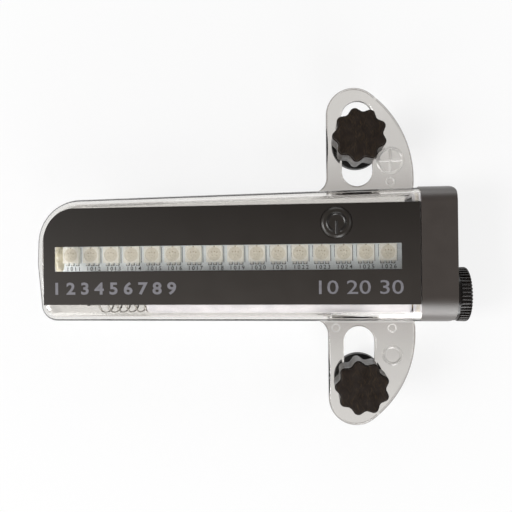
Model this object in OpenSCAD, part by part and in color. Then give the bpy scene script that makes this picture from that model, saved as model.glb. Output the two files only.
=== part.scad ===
/* [Housing] */
// Length of the clear housing from its closed end to the seam
housing_len = 114.8; // [112:0.1:120]
// Thickness of the housing from back to front
housing_t = 18; // [17.6:0.1:20]
// Depth of the housing below the centre line
housing_low = 19; // [18.9:0.1:21]
// Height of the housing above the centre line at the closed end
housing_high_left = 17.9; // [17:0.1:19]
// Height of the housing above the centre line at the seam
housing_high_seam = 19.6; // [19:0.1:21]
// Thickness of the housing's walls
wall = 1.3; // [1:0.05:1.4]
// Rounding of the front and back edges
edge_r = 4; // [3:0.1:4.5]
// Plan radius of the upper corner of the closed end
corner_high_r = 11.5; // [9:0.1:13]
// Plan radius of the lower corner of the closed end
corner_low_r = 5; // [4.8:0.1:6]
// Plan radius of the closed end's bulge
bulge_r = 14; // [12:0.1:16]
// How far the upper corner of the closed end stands back from the bulge
corner_high_back = 0.25; // [0:0.05:0.5]
// How far the lower corner of the closed end stands back from the bulge
corner_low_back = 1.2; // [0.5:0.05:1.5]

/* [Label] */
// Distance from the closed end to the film
label_inset = 3.3; // [3:0.1:4]
// Distance from the film to the seam
label_end = 0.5; // [0.3:0.1:2]
// Distance from the housing's upper edge at the closed end to the film
label_top_inset = 2.7; // [2.4:0.1:4]
// Distance from the housing's lower edge to the film
label_low_inset = 5.15; // [4.5:0.05:6]
// Thickness of the film
label_t = 0.35; // [0.2:0.05:0.5]
// Radius of the film's upper left corner
label_corner_r = 7.5; // [5:0.1:9]
// Distance from the film's left end to its light window
window_inset = 3.5; // [3:0.1:4]
// Distance from the window to the film's end at the seam
window_end = 4.9; // [4:0.1:6]
// Height of the window above the centre line
window_high = 3.6; // [3.4:0.1:4.2]
// Depth of the window below the centre line
window_low = 3.8; // [3.4:0.1:4]

/* [Lights and board] */
// Spacing of the lights, which fill the window
led_pitch = 6.5; // [5.5:0.1:9]
// Width of a light's square package
led_size = 5; // [3.5:0.1:5.2]
// Height of a light's package
led_t = 1.6; // [1.2:0.1:2]
// Diameter of the round resin window in a light
led_resin_d = 4.2; // [3:0.1:4.4]
// Distance from the closed end to the first light
led_first = 8.95; // [8.5:0.05:9.5]
// Height of the row of lights above the centre line
led_high = 1.15; // [0.8:0.05:1.4]
// Thickness of the circuit board
board_t = 1.2; // [0.8:0.1:1.6]
// Distance from the housing's upper edge at the closed end to the board
board_top_inset = 3.5; // [3.2:0.1:5]
// Gap between the board and the sleeve around the cells
board_gap = 0.35; // [0.2:0.05:1]
// Distance from the closed end to the board
board_inset = 5.6; // [5.4:0.1:6]
// Distance from the board to the seam
board_end_gap = 2; // [1.6:0.1:3]
// Thickness of the rails that guide the board
rail_t = 1; // [0.7:0.1:1.2]
// Width of the switch under the power button
switch_w = 6; // [5:0.1:6.2]
// Height of the switch's case
switch_t = 3.5; // [3:0.1:4]
// Radius of the switch's plunger
plunger_r = 1.75; // [1.2:0.05:2]

/* [Small parts on the board] */
// Distance from the board's left end to the middle of the motion sensor
sensor_inset = 18; // [12:0.5:20]
// Radius of the motion sensor
sensor_r = 2.3; // [1.8:0.1:2.6]
// Length of the motion sensor
sensor_len = 9.5; // [7:0.1:11]
// Radius of the sensor's leads
sensor_lead_r = 0.25; // [0.2:0.05:0.4]
// Length of each of the sensor's leads
sensor_lead_len = 2; // [1:0.1:2.5]
// Distance from the button to the middle of the driver chip
driver_back = 40.6; // [36:0.1:42]
// Length of the driver chip
driver_len = 9.9; // [8:0.1:10.4]
// Width of the driver chip
driver_w = 3.9; // [3:0.1:5]
// Height of the driver chip
driver_t = 1.5; // [1:0.1:2]
// Number of leads on each side of the driver chip
driver_leads = 8; // [4:1:8]
// Spacing of the driver chip's leads
lead_pitch = 1.27; // [0.8:0.01:1.3]
// Width of a lead
lead_w = 0.42; // [0.3:0.01:0.5]
// Reach of a lead
lead_len = 1.05; // [0.8:0.05:1.3]
// Thickness of a lead
lead_t = 0.2; // [0.15:0.01:0.3]
// Distance from the button to the first resistor
resistor_back = 30; // [28:0.1:32]
// Number of resistors
resistor_count = 4; // [1:1:4]
// Spacing of the resistors
resistor_pitch = 3; // [2:0.1:3.4]
// Width of a resistor
resistor_w = 1.25; // [0.8:0.05:1.6]
// Length of a resistor
resistor_l = 2; // [1.6:0.1:3.2]
// Height of a resistor
resistor_t = 0.5; // [0.4:0.05:0.7]
// Distance from the button to the first capacitor
capacitor_back = 15.5; // [14.5:0.1:17]
// Number of capacitors
capacitor_count = 3; // [1:1:3]
// Spacing of the capacitors
capacitor_pitch = 3.5; // [2.5:0.1:3.8]
// Width of a capacitor
capacitor_w = 1.6; // [0.8:0.1:2]
// Length of a capacitor
capacitor_l = 3.2; // [1.6:0.1:3.6]
// Height of a capacitor
capacitor_t = 1.2; // [0.8:0.1:1.6]

/* [Power button] */
// Distance from the button's centre to the seam
button_back = 23.65; // [22:0.05:26]
// Height of the button above the centre line
button_high = 9.7; // [9.4:0.1:10]
// Radius of the button
button_r = 4.5; // [4:0.1:4.8]
// Reach of the flange that keeps the button in
flange_lip = 0.7; // [0.4:0.1:0.9]
// Thickness of that flange
flange_t = 0.7; // [0.5:0.1:0.9]
// Travel of the button
button_travel = 0.5; // [0.3:0.05:0.6]
// How far the button stands out of the housing
button_proud = 0.3; // [0.1:0.05:0.5]
// Height of the raised symbol on the button
symbol_t = 0.25; // [0.15:0.05:0.4]
// Radius of the symbol's broken ring
symbol_r = 2.85; // [2:0.05:3.2]
// Width of the symbol's lines
symbol_w = 0.55; // [0.4:0.05:0.7]

/* [Wings] */
// Distance from the centre line to a wing's tip
wing_reach = 50.6; // [49:0.1:53]
// Thickness of a wing
wing_t = 2.4; // [1.8:0.1:3]
// Radius of a wing's tip
wing_tip_r = 8.1; // [7.5:0.1:9]
// Distance from the centre of the wing's tip to the seam
wing_back = 18.1; // [17:0.1:19]
// Distance from the widest point of a wing's curved side to the seam
wing_edge_back = 0.45; // [0.2:0.05:2]
// Distance of that point from the centre line
wing_side_high = 22.9; // [21:0.1:26]
// Fillet where a wing meets the housing
wing_fillet_r = 4.5; // [2:0.1:6]
// Width of the slot in a wing
slot_w = 9; // [8.4:0.1:9.4]
// Distance from the housing's side to the slot
slot_root = 1.4; // [1:0.1:3]
// Distance from the slot to the wing's tip
slot_tip = 4.1; // [3:0.1:5]
// Shift of the slot from the middle of the wing's tip towards the seam
slot_shift = 1.1; // [0:0.1:1.5]
// Height of the raised marks on a wing
mark_t = 0.25; // [0.1:0.05:0.4]
// Width of the marks' lines
mark_w = 0.5; // [0.3:0.05:0.8]
// Distance from the middle of the marks to the seam
mark_back = 7.3; // [7:0.1:8]
// Distance from the housing's side to the middle of the plus mark
plus_root = 8.7; // [7:0.1:10]
// Radius of the ring round the plus mark
plus_r = 4; // [3:0.1:4.2]
// Distance from the housing's side to the middle of the bare ring
bare_root = 10.5; // [8:0.1:12]
// Radius of the bare ring
bare_r = 2.85; // [2:0.05:4]
// Distance from the housing's side to the ejector marks
ejector_root = 2.4; // [2:0.1:3]
// Radius of an ejector mark
ejector_r = 1.5; // [1:0.1:1.8]

/* [Spoke clamps] */
// Distance from the upper clamp to the far end of its travel
upper_clamp_back = 7.9; // [2:0.05:12]
// Distance from the lower clamp to the far end of its travel
lower_clamp_back = 4.9; // [2:0.05:12]
// Radius of a star knob over its lobes
knob_r = 7.7; // [7.2:0.1:8.2]
// Height of a star knob
knob_h = 9.5; // [8.5:0.1:11]
// Number of lobes on a star knob
knob_lobes = 9; // [7:1:10]
// Radius of a lobe and of the hollow between two lobes
lobe_r = 1.45; // [1.3:0.05:1.5]
// Depth of the hollow between two lobes
lobe_depth = 1.1; // [0.9:0.05:1.2]
// Step round the knob's top edge
knob_step = 0.4; // [0.2:0.05:0.5]
// Radius of the threaded insert in a knob
insert_r = 3.2; // [2.9:0.1:4]
// Length of that insert
insert_len = 6; // [4:0.1:6.5]
// Radius of the bolt's shank
bolt_r = 2; // [1.5:0.1:2.2]
// Radius of the bolt's round head behind the wing
head_r = 7.4; // [7:0.1:8]
// Thickness of that head
head_t = 3.6; // [3:0.1:4]
// Gap between the head and the wing, where the spoke lies
clamp_gap = 1.5; // [1.4:0.1:2]
// Radius of the spoke grooves in the head
spoke_r = 1; // [0.8:0.05:1.2]
// Gap between a spoke and the bolt's shank
spoke_gap = 0.3; // [0.2:0.05:0.6]
// Thickness of the knob over its blind bore
knob_roof = 1.1; // [0.8:0.1:1.5]
// Room in the blind bore past the bolt's tip
bolt_room = 1.6; // [1.5:0.1:2]
// Radius of the bush's flange under the knob
bush_flange_r = 5.5; // [5.2:0.1:5.6]
// Thickness of that flange
bush_flange_t = 0.8; // [0.5:0.1:1]

/* [End cap] */
// Length of the end cap
end_cap_len = 10.85; // [10.4:0.05:13]
// How far the end cap stands proud of the housing above and below
end_cap_lip = 0.4; // [0.2:0.1:0.6]
// Radius of the end cap's lower long edges
end_cap_low_r = 8; // [6:0.1:8.5]
// Radius of the end cap's upper long edges
end_cap_high_r = 5; // [4:0.1:6]
// Rounding of the end cap's outer edge
end_cap_edge_r = 2.2; // [1:0.1:3]
// Wall of the end cap
end_cap_wall = 2; // [1.5:0.1:2.4]
// Length of the spigot that plugs the housing
spigot_len = 5; // [4:0.1:5.2]
// Wall of that spigot
spigot_wall = 1.2; // [1:0.1:1.3]
// Distance from the spigot's end to the seal's groove
seal_inset = 1.5; // [1:0.1:2.5]
// Width of the seal
seal_w = 1; // [0.6:0.1:1.5]
// Depth of the seal's groove
seal_depth = 0.35; // [0.25:0.05:0.4]

/* [Batteries] */
// Gap between the sleeve around the cells and the housing's lower wall
tube_gap = 0.25; // [0.15:0.05:0.4]
// Diameter of a cell
cell_d = 10.5; // [10:0.05:10.6]
// Length of a cell over its button
cell_len = 44.5; // [44:0.1:44.8]
// Radius of a cell's button
cell_button_r = 1.9; // [1.6:0.1:2.6]
// Length of a cell's button
cell_button_len = 0.9; // [0.6:0.1:1.2]
// Wall of the sleeve around the cells
tube_wall = 0.5; // [0.3:0.05:0.6]
// Thickness of the sleeve's fins
fin_t = 1; // [0.8:0.1:1.5]
// Distance from the closed end to the bulkhead behind the spring
bulkhead_inset = 15; // [14.5:0.1:15.5]
// Thickness of the bulkhead
bulkhead_t = 1; // [0.8:0.1:1.2]
// Thickness of the metal contacts
contact_t = 0.5; // [0.3:0.05:0.6]
// Turns of the spring
spring_turns = 5.5; // [4:0.5:7]
// Diameter of the spring's wire
wire_d = 0.55; // [0.4:0.05:0.7]
// Radius of the spring's wide end at the middle of its wire
coil_wide_r = 5.1; // [4.6:0.1:5.3]
// Radius of the spring's narrow end at the middle of its wire
coil_narrow_r = 4.4; // [3.5:0.1:4.6]

/* [Battery cap] */
// Wall of the contact cup in the cap
skirt_t = 0.4; // [0.3:0.05:0.5]
// Height of the dimple that touches the cell
contact_dimple = 0.6; // [0.4:0.1:0.8]
// Distance from the seam to the shank's inner end
shank_inset = 1.6; // [1.2:0.1:2.5]
// Wall of the cap's hollow shank
shank_wall = 1; // [0.95:0.05:1.2]
// Distance from the end cap's face to the floor of the shank's hollow
floor_back = 1.5; // [1.3:0.05:2]
// Reach of the plain collar past the shank
collar_lip = 0.9; // [0.6:0.1:1]
// Thickness of the collar
collar_len = 1; // [0.6:0.1:1.5]
// Reach of the knurled grip past the shank
grip_lip = 1.2; // [1.1:0.1:1.6]
// Thickness of the grip
grip_len = 2.35; // [2:0.05:4]
// Number of knurls
grip_ribs = 48; // [24:1:60]
// Rounding of the grip's outer edge
grip_edge_r = 0.8; // [0.4:0.1:1.2]
// Diameter of the seal ring's section
ring_d = 0.8; // [0.6:0.05:0.85]
// Distance from the end cap's face to the middle of the seal ring
ring_back = 0.6; // [0.5:0.05:0.9]

/* [Fits] */
// Radial clearance of pieces that turn or slide in one another
run_gap = 0.05; // [0.03:0.01:0.1]
// Clearance of pieces that are fixed side by side
seat_gap = 0.1; // [0.05:0.01:0.15]
// Gap under a film or a stuck piece
glue_gap = 0.03; // [0.02:0.01:0.05]

/* [Hidden] */
$fn = 96;
over = 1;
weld = 0.3;

total_len = housing_len + seat_gap + end_cap_len + seat_gap + collar_len + grip_len;
x_left = -total_len / 2;
x_seam = x_left + housing_len;
cap_x = x_seam + seat_gap;
face_x = cap_x + end_cap_len;
mid_z = housing_t / 2;

// Top wall's height, which falls from the seam to the closed end
function top_y(x) = housing_high_left + (x - x_left) * (housing_high_seam - housing_high_left) / housing_len;
// Centres and radii of the arcs that round the closed end in plan
high_x = x_left + corner_high_back + corner_high_r;
end_arcs = [
    [high_x, top_y(high_x) - corner_high_r, corner_high_r],
    [x_left + bulge_r, -1, bulge_r],
    [x_left + corner_low_back + corner_low_r, corner_low_r - housing_low, corner_low_r]
];
hull_fn = 40;

cell_r = cell_d / 2;
tube_r = cell_r + 2 * seat_gap;
tube_out = tube_r + tube_wall;
battery_low = housing_low - wall - tube_gap - tube_out;

label_x = x_left + label_inset;
label_len = housing_len - label_inset - label_end;
label_high = housing_high_left - label_top_inset;
label_low = housing_low - label_low_inset;
label_sink = 0.05;
window_x = label_x + window_inset;
window_len = label_len - window_inset - window_end;
led_x = x_left + led_first;
led_count = floor((window_x + window_len - led_size / 2 - led_x) / led_pitch) + 1;
button_x = x_seam - button_back;
flange_r = button_r + flange_lip;
board_x = x_left + board_inset;
board_high = housing_high_left - board_top_inset;
board_low = battery_low - tube_out - board_gap;
board_len = x_seam - board_end_gap - board_x;
board_front = mid_z + board_t / 2;
board_back = mid_z - board_t / 2;
spigot_x = x_seam - spigot_len;
spigot_high = top_y(spigot_x) - wall - seat_gap;
spigot_low = housing_low - wall - seat_gap;
spigot_edge_r = edge_r - wall - seat_gap;
seal_x = spigot_x + seal_inset;

wing_front = mid_z + wing_t / 2;
wing_rear = mid_z - wing_t / 2;
tip_c = [x_seam - wing_back, wing_reach - wing_tip_r];
wing_edge = tip_c.x - wing_tip_r;
// The curved side's arc ends upright at its widest point and meets the tip's circle without a corner
side_run = wing_back - wing_edge_back;
side_rise = tip_c.y - wing_side_high;
wing_side_r = (pow(side_run, 2) + pow(side_rise, 2) - pow(wing_tip_r, 2)) / (2 * (side_run - wing_tip_r));
side_c = [x_seam - wing_edge_back - wing_side_r, wing_side_high];
slot_x = tip_c.x + slot_shift;
slot_near = max(housing_high_seam, housing_low) + slot_root + slot_w / 2;
slot_far = wing_reach - slot_tip - slot_w / 2;
upper_clamp_high = slot_far - upper_clamp_back;
lower_clamp_low = slot_far - lower_clamp_back;

plate_x = x_left + bulkhead_inset + bulkhead_t + glue_gap;
spring_x = plate_x + contact_t + glue_gap;
cup_floor = face_x - floor_back;
cells_end = cup_floor - run_gap - contact_t - contact_dimple - glue_gap;
cells_x = cells_end - 2 * cell_len;
spring_len = cells_x - glue_gap - spring_x;
tube_len = spigot_x - seat_gap - cells_x;
ring_x = cap_x + seat_gap;
shank_x = x_seam + shank_inset;
cup_r = cell_r + seat_gap + skirt_t + run_gap;
shank_r = cup_r + shank_wall;
collar_r = shank_r + collar_lip;
grip_r = shank_r + grip_lip;
seal_ring_x = face_x - ring_back;

bush_z = wing_front + run_gap;
knob_z = bush_z + bush_flange_t + run_gap;
head_z = wing_rear - clamp_gap;
bolt_tip = knob_z + knob_h - knob_roof - bolt_room;
groove_out = bolt_r + spoke_r + spoke_gap;

// Quarter disc that rounds one outer corner of a rim
module rim_corner(r, turn) {
    intersection() {
        circle(r);
        rotate(turn)
            square(r);
    }
}

// Half section of a slab's rim, with its outer edges rounded
module rim(reach, height, low_r, high_r) {
    square([reach - max(low_r, high_r), height]);
    translate([0, low_r])
        square([reach, height - low_r - high_r]);
    if (low_r > 0)
        translate([reach - low_r, low_r])
            rim_corner(low_r, -90);
    if (high_r > 0)
        translate([reach - high_r, height - high_r])
            rim_corner(high_r, 0);
}

// Straight length of a rim along X, reaching out along Y
module rim_bar(length, reach, height, low_r, high_r) {
    rotate([90, 0, 90])
        linear_extrude(length)
            rim(reach, height, low_r, high_r);
}

// The housing's outer form, drawn in by a distance all round
module housing_form(inset, x_end) {
    height = housing_t - 2 * inset;
    r = edge_r - inset;
    slice = 0.1;
    translate([0, 0, inset])
        hull() {
            for (arc = end_arcs)
                translate([arc.x, arc.y, 0])
                    rotate_extrude($fn = hull_fn)
                        rim(arc.z - inset, height, r, r, $fn = hull_fn);
            lay_along_x(x_end - slice)
                linear_extrude(slice)
                    round_rect(inset - housing_low, top_y(x_end) - inset, 0, height, r, $fn = hull_fn);
        }
}

// One wing in plan, above the centre line
module wing_plan() {
    reach = (tip_c - side_c) / norm(tip_c - side_c) * wing_tip_r;
    root = min(housing_high_seam, housing_low) - edge_r;
    translate(tip_c)
        circle(wing_tip_r);
    intersection() {
        translate(side_c)
            circle(wing_side_r);
        polygon([[wing_edge, root], [x_seam, root], [x_seam, tip_c.y], tip_c + 2 * reach, tip_c,
                 [wing_edge, tip_c.y]]);
    }
}

// Concave fillet where a wing leaves the housing
module wing_fillet(wall_y) {
    difference() {
        translate([wing_edge - wing_fillet_r, wall_y - edge_r])
            square([wing_fillet_r + weld, edge_r + wing_fillet_r]);
        translate([wing_edge - wing_fillet_r, wall_y + wing_fillet_r])
            circle(wing_fillet_r);
    }
}

module slot_plan() {
    for (y = [slot_near, slot_far])
        translate([slot_x, y])
            circle(d = slot_w);
    translate([slot_x - slot_w / 2, slot_near])
        square([slot_w, slot_far - slot_near]);
}

module wing(wall_y) {
    translate([0, 0, wing_rear])
        linear_extrude(wing_t)
            difference() {
                union() {
                    wing_plan();
                    wing_fillet(wall_y);
                }
                slot_plan();
            }
}

// A raised ring on a wing's front face
module mark_ring(x, y, r) {
    translate([x, y, wing_front - weld])
        difference() {
            cylinder(r = r, h = weld + mark_t);
            translate([0, 0, -over])
                cylinder(r = r - mark_w, h = 2 * over + weld + mark_t);
        }
}

// A plus on the upper wing and a bare ring on the lower one show which way the wings face
module wing_marks() {
    mark_x = x_seam - mark_back;
    plus_y = housing_high_seam + plus_root;
    mark_ring(mark_x, plus_y, plus_r);
    for (turn = [0, 90])
        translate([mark_x, plus_y, wing_front - weld])
            rotate(turn)
                translate([-plus_r + mark_w / 2, -mark_w / 2, 0])
                    cube([2 * plus_r - mark_w, mark_w, weld + mark_t]);
    mark_ring(mark_x, -housing_low - bare_root, bare_r);
    mark_ring(mark_x, housing_high_seam + ejector_root, ejector_r);
    for (x = [wing_edge + ejector_root, mark_x])
        mark_ring(x, -housing_low - ejector_root, ejector_r);
}

module label_plan(grow) {
    r = label_corner_r + grow;
    x0 = label_x - grow;
    x1 = label_x + label_len + grow;
    y0 = -label_low - grow;
    y1 = label_high + grow;
    difference() {
        union() {
            translate([x0, y0])
                square([x1 - x0, y1 - y0 - r]);
            translate([x0 + r, y0])
                square([x1 - x0 - r, y1 - y0]);
            translate([x0 + r, y1 - r])
                circle(r);
        }
        translate([window_x + grow, -window_low + grow])
            square([window_len - 2 * grow, window_low + window_high - 2 * grow]);
    }
}

// Ribs on the inside of the front and back walls that hold one edge of the board
module board_rail(y, x_start) {
    length = spigot_x - seat_gap - x_start;
    reach = mid_z - wall + weld - board_t / 2 - seat_gap;
    for (z = [wall - weld, board_front + seat_gap])
        translate([x_start, y, z])
            cube([length, rail_t, reach]);
}

module housing() {
    label_cut = label_t + label_sink + glue_gap;
    weld_in = wall - weld;
    bulkhead_gap = 0.8;
    color([0.86, 0.87, 0.86, 0.35])
        difference() {
            union() {
                difference() {
                    union() {
                        housing_form(0, x_seam);
                        wing(top_y(wing_edge));
                        mirror([0, 1, 0])
                            wing(housing_low);
                        wing_marks();
                    }
                    housing_form(wall, x_seam + over);
                }
                board_rail(board_high + seat_gap - rail_t, high_x);
                board_rail(-board_low - seat_gap, plate_x + 2);
                lay_along_x(x_left + bulkhead_inset)
                    linear_extrude(bulkhead_t)
                        round_rect(weld_in - housing_low, -board_low - bulkhead_gap,
                                   weld_in, housing_t - weld_in, edge_r - weld_in);
            }
            translate([0, 0, housing_t - label_cut])
                linear_extrude(over)
                    label_plan(seat_gap);
            translate([0, 0, label_cut - over])
                linear_extrude(over)
                    label_plan(seat_gap);
            translate([button_x, button_high, mid_z + board_t])
                cylinder(r = button_r + seat_gap, h = housing_t);
            translate([button_x, button_high, board_front + switch_t])
                cylinder(r = flange_r + 3 * seat_gap, h = housing_t - wall - board_front - switch_t);
        }
}

module front_label() {
    color([0.2, 0.19, 0.18])
        translate([0, 0, housing_t - label_sink - label_t])
            linear_extrude(label_t)
                difference() {
                    label_plan(0);
                    translate([button_x, button_high])
                        circle(button_r + seat_gap);
                }
}

module back_label() {
    color([0.2, 0.19, 0.18])
        translate([0, 0, label_sink])
            linear_extrude(label_t)
                label_plan(0);
}

// Slab with its long direction along Z and the edge of its far end rounded
module capped_slab(x0, x1, y0, y1, r0, r1, height, edge) {
    r_min = min(r0, r1);
    width = x1 - x0 - r0 - r1;
    for (c = [[x0 + r0, y0 + r0, r0, 180], [x0 + r0, y1 - r0, r0, 90],
              [x1 - r1, y0 + r1, r1, 270], [x1 - r1, y1 - r1, r1, 0]])
        translate([c[0], c[1], 0])
            rotate(c[3])
                rotate_extrude(angle = 90)
                    rim(c[2], height, 0, edge);
    translate([x0 + r0, y0 + r_min, 0])
        cube([width, y1 - y0 - 2 * r_min, height]);
    translate([x0 + r0, y1 - r_min, 0])
        rim_bar(width, r_min, height, 0, edge);
    translate([x0 + r0, y0 + r_min, 0])
        mirror([0, 1, 0])
            rim_bar(width, r_min, height, 0, edge);
    translate([x0 + r0, y1 - r0, 0])
        rotate(90)
            mirror([1, 0, 0])
                rim_bar(y1 - y0 - 2 * r0, r0, height, 0, edge);
    translate([x1 - r1, y1 - r1, 0])
        rotate(-90)
            rim_bar(y1 - y0 - 2 * r1, r1, height, 0, edge);
}

// Turns a slab built upright so that it runs along +X, with its X along Y
module lay_along_x(x) {
    translate([x, 0, 0])
        rotate([90, 0, 90])
            children();
}

// The batteries' axis, pointing along +X
module on_axis(x) {
    translate([x, -battery_low, mid_z])
        rotate([0, 90, 0])
            children();
}

module round_rect(x0, x1, y0, y1, r) {
    translate([x0 + r, y0])
        square([x1 - x0 - 2 * r, y1 - y0]);
    translate([x0, y0 + r])
        square([x1 - x0, y1 - y0 - 2 * r]);
    for (x = [x0 + r, x1 - r], y = [y0 + r, y1 - r])
        translate([x, y])
            circle(r);
}

// Section of the spigot, drawn in by a distance all round
module spigot_plan(inset) {
    low = wall + seat_gap + inset;
    round_rect(-spigot_low + inset, spigot_high - inset, low, housing_t - low, spigot_edge_r - inset);
}

module spigot_ring(x, length, outer, inner) {
    lay_along_x(x)
        linear_extrude(length)
            difference() {
                spigot_plan(outer);
                spigot_plan(inner);
            }
}

module end_cap() {
    low = housing_low + end_cap_lip;
    high = housing_high_seam + end_cap_lip;
    low_r = min(end_cap_low_r, housing_t / 2 - weld);
    pocket_low = shank_r + end_cap_wall - battery_low;
    color([0.26, 0.24, 0.22])
        difference() {
            union() {
                lay_along_x(cap_x)
                    capped_slab(-low, high, 0, housing_t, low_r, end_cap_high_r, end_cap_len, end_cap_edge_r);
                spigot_ring(spigot_x, spigot_len + seat_gap + weld, 0, spigot_wall);
            }
            lay_along_x(cap_x - over)
                linear_extrude(over + end_cap_len - end_cap_wall)
                    round_rect(pocket_low, high - 2 * end_cap_wall, 2 * end_cap_wall,
                               housing_t - 2 * end_cap_wall, end_cap_wall);
            on_axis(cap_x - seat_gap)
                cylinder(r = shank_r + run_gap, h = end_cap_len + over);
            on_axis(spigot_x - over)
                cylinder(r = tube_r, h = spigot_len + 2 * over);
            spigot_ring(seal_x, seal_w + seat_gap, -over, seal_depth);
        }
}

module end_cap_seal() {
    color([0.12, 0.12, 0.12])
        spigot_ring(seal_x + seat_gap / 2, seal_w, -seat_gap / 2, seal_depth - seat_gap / 2);
}

// Sleeve around the cells, kept central by a fin towards each face of the housing
module battery_tube() {
    fin = mid_z - wall - seat_gap;
    color([0.9, 0.9, 0.88])
        difference() {
            union() {
                on_axis(cells_x)
                    cylinder(r = tube_out, h = tube_len);
                translate([cells_x, -battery_low - fin_t / 2, mid_z - fin])
                    cube([tube_len, fin_t, 2 * fin]);
            }
            on_axis(cells_x - over)
                cylinder(r = tube_r, h = tube_len + 2 * over);
        }
}

module cell(x) {
    on_axis(x) {
        cylinder(r = cell_r, h = cell_len - cell_button_len - glue_gap);
        cylinder(r = cell_button_r, h = cell_len - glue_gap);
    }
}

module left_cell() {
    color([0.75, 0.62, 0.3])
        cell(cells_x);
}

module right_cell() {
    color([0.75, 0.62, 0.3])
        cell(cells_x + cell_len);
}

// Helix of the spring's wire, which runs straight along the axis for one diameter at each end
spring_steps = 8;
spring_sides = 6;
spring_rings = spring_turns * spring_steps;
spring_run = spring_len - 2 * wire_d - 2 * glue_gap;
function spring_share(i) = i / spring_rings;
function coil_r(i) = coil_wide_r + (coil_narrow_r - coil_wide_r) * spring_share(i);
function coil_angle(i) = 360 * i / spring_steps;
function coil_out(i) = [0, cos(coil_angle(i)), sin(coil_angle(i))];
function coil_point(i) = [wire_d + spring_run * spring_share(i), 0, 0] + coil_r(i) * coil_out(i);
spring_path = concat(
    [coil_point(0) - [wire_d, 0, 0]],
    [for (i = [0:spring_rings]) coil_point(i)],
    [coil_point(spring_rings) + [wire_d, 0, 0]]
);
spring_out = concat(
    [coil_out(0)],
    [for (i = [0:spring_rings]) coil_out(i)],
    [coil_out(spring_rings)]
);
spring_last = len(spring_path) - 1;
function unit(v) = v / norm(v);
function spring_dir(i) = i == 0 || i == spring_last
    ? [1, 0, 0]
    : unit(unit(spring_path[i + 1] - spring_path[i]) + unit(spring_path[i] - spring_path[i - 1]));
function spring_side(i) = unit(cross(spring_dir(i), spring_out[i]));
function spring_up(i) = cross(spring_side(i), spring_dir(i));
spring_points = [
    for (i = [0:spring_last], k = [0:spring_sides - 1])
        let (a = 360 * k / spring_sides)
            spring_path[i] + wire_d / 2 * (cos(a) * spring_up(i) + sin(a) * spring_side(i))
];
function ring_at(i, k) = i * spring_sides + k % spring_sides;
spring_faces = concat(
    [for (k = [1:spring_sides - 2]) [0, k + 1, k]],
    [for (i = [0:spring_last - 1], k = [0:spring_sides - 1])
        [ring_at(i, k), ring_at(i, k + 1), ring_at(i + 1, k)]],
    [for (i = [0:spring_last - 1], k = [0:spring_sides - 1])
        [ring_at(i, k + 1), ring_at(i + 1, k + 1), ring_at(i + 1, k)]],
    [for (k = [1:spring_sides - 2])
        [ring_at(spring_last, 0), ring_at(spring_last, k), ring_at(spring_last, k + 1)]]
);
spring_gap = min([
    for (i = [0:spring_last - spring_steps / 2], j = [i + spring_steps / 2:spring_last])
        norm(spring_path[i] - spring_path[j])
]) - wire_d;
echo("least gap between the spring's turns", spring_gap);

module battery_spring() {
    color([0.7, 0.7, 0.68])
        translate([spring_x + glue_gap, -battery_low, mid_z])
            polyhedron(spring_points, spring_faces);
}

// Plate behind the spring, with a tab that rises to the board's front face
module spring_plate() {
    half = cell_r;
    tab_w = 3;
    tab_high = 1.2;
    color([0.8, 0.78, 0.72]) {
        translate([plate_x, -battery_low - half, mid_z - half])
            cube([contact_t, 2 * half, 2 * half]);
        translate([plate_x, -battery_low, board_front + glue_gap])
            cube([contact_t, battery_low - board_low + tab_high, tab_w]);
    }
}

// Ring that meets the battery cap's contact, with a strip that passes below the board and turns up onto it
module contact_ring() {
    strip_w = 2.2;
    strip_x = x_seam - board_end_gap - strip_w;
    strip_y = tube_r + 2 * seat_gap - battery_low;
    strip_z = board_front + glue_gap;
    lap = 2.5;
    color([0.8, 0.78, 0.72]) {
        difference() {
            on_axis(ring_x)
                cylinder(r = shank_r - run_gap, h = contact_t);
            on_axis(ring_x - over)
                cylinder(r = tube_r + seat_gap, h = contact_t + 2 * over);
        }
        translate([strip_x, strip_y, strip_z])
            cube([ring_x + contact_t - strip_x, contact_t, strip_w]);
        translate([strip_x, strip_y, strip_z])
            cube([strip_w, lap - board_low - strip_y, contact_t]);
    }
}

module circuit_board() {
    color([0.85, 0.87, 0.86])
        translate([board_x, -board_low, board_back])
            cube([board_len, board_low + board_high, board_t]);
}

// One light: a square package with a round resin window sunk into its face
module led() {
    resin_depth = 0.2;
    difference() {
        translate([-led_size / 2, -led_size / 2, 0])
            cube([led_size, led_size, led_t]);
        translate([0, 0, led_t - resin_depth])
            cylinder(d = led_resin_d, h = over);
    }
}

module led_row() {
    for (i = [0:led_count - 1])
        translate([led_x + i * led_pitch, led_high, 0])
            led();
}

module front_leds() {
    color([0.82, 0.8, 0.74])
        translate([0, 0, board_front + glue_gap])
            led_row();
}

module back_leds() {
    color([0.82, 0.8, 0.74])
        translate([0, 0, board_back - glue_gap])
            mirror([0, 0, 1])
                led_row();
}

module on_board(x, y) {
    translate([x, y, board_front + glue_gap])
        children();
}

// Driver chip with a row of leads on each long side
module led_driver() {
    lead = [lead_w, lead_len, 2 * lead_t];
    lead_y = (driver_w + lead_len - lead_t) / 2;
    color([0.1, 0.1, 0.11])
        on_board(button_x - driver_back, button_high) {
            translate([-driver_len / 2, -driver_w / 2, lead_t / 2])
                cube([driver_len, driver_w, driver_t]);
            for (i = [0:driver_leads - 1], side = [-1, 1])
                translate([(i - (driver_leads - 1) / 2) * lead_pitch, side * lead_y, lead_t])
                    cube(lead, center = true);
        }
}

module tact_switch() {
    color([0.16, 0.16, 0.17])
        on_board(button_x, button_high)
            difference() {
                translate([-switch_w / 2, -switch_w / 2, 0])
                    cube([switch_w, switch_w, switch_t]);
                translate([0, 0, switch_t / 2])
                    cylinder(r = plunger_r + run_gap, h = switch_t);
            }
}

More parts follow.
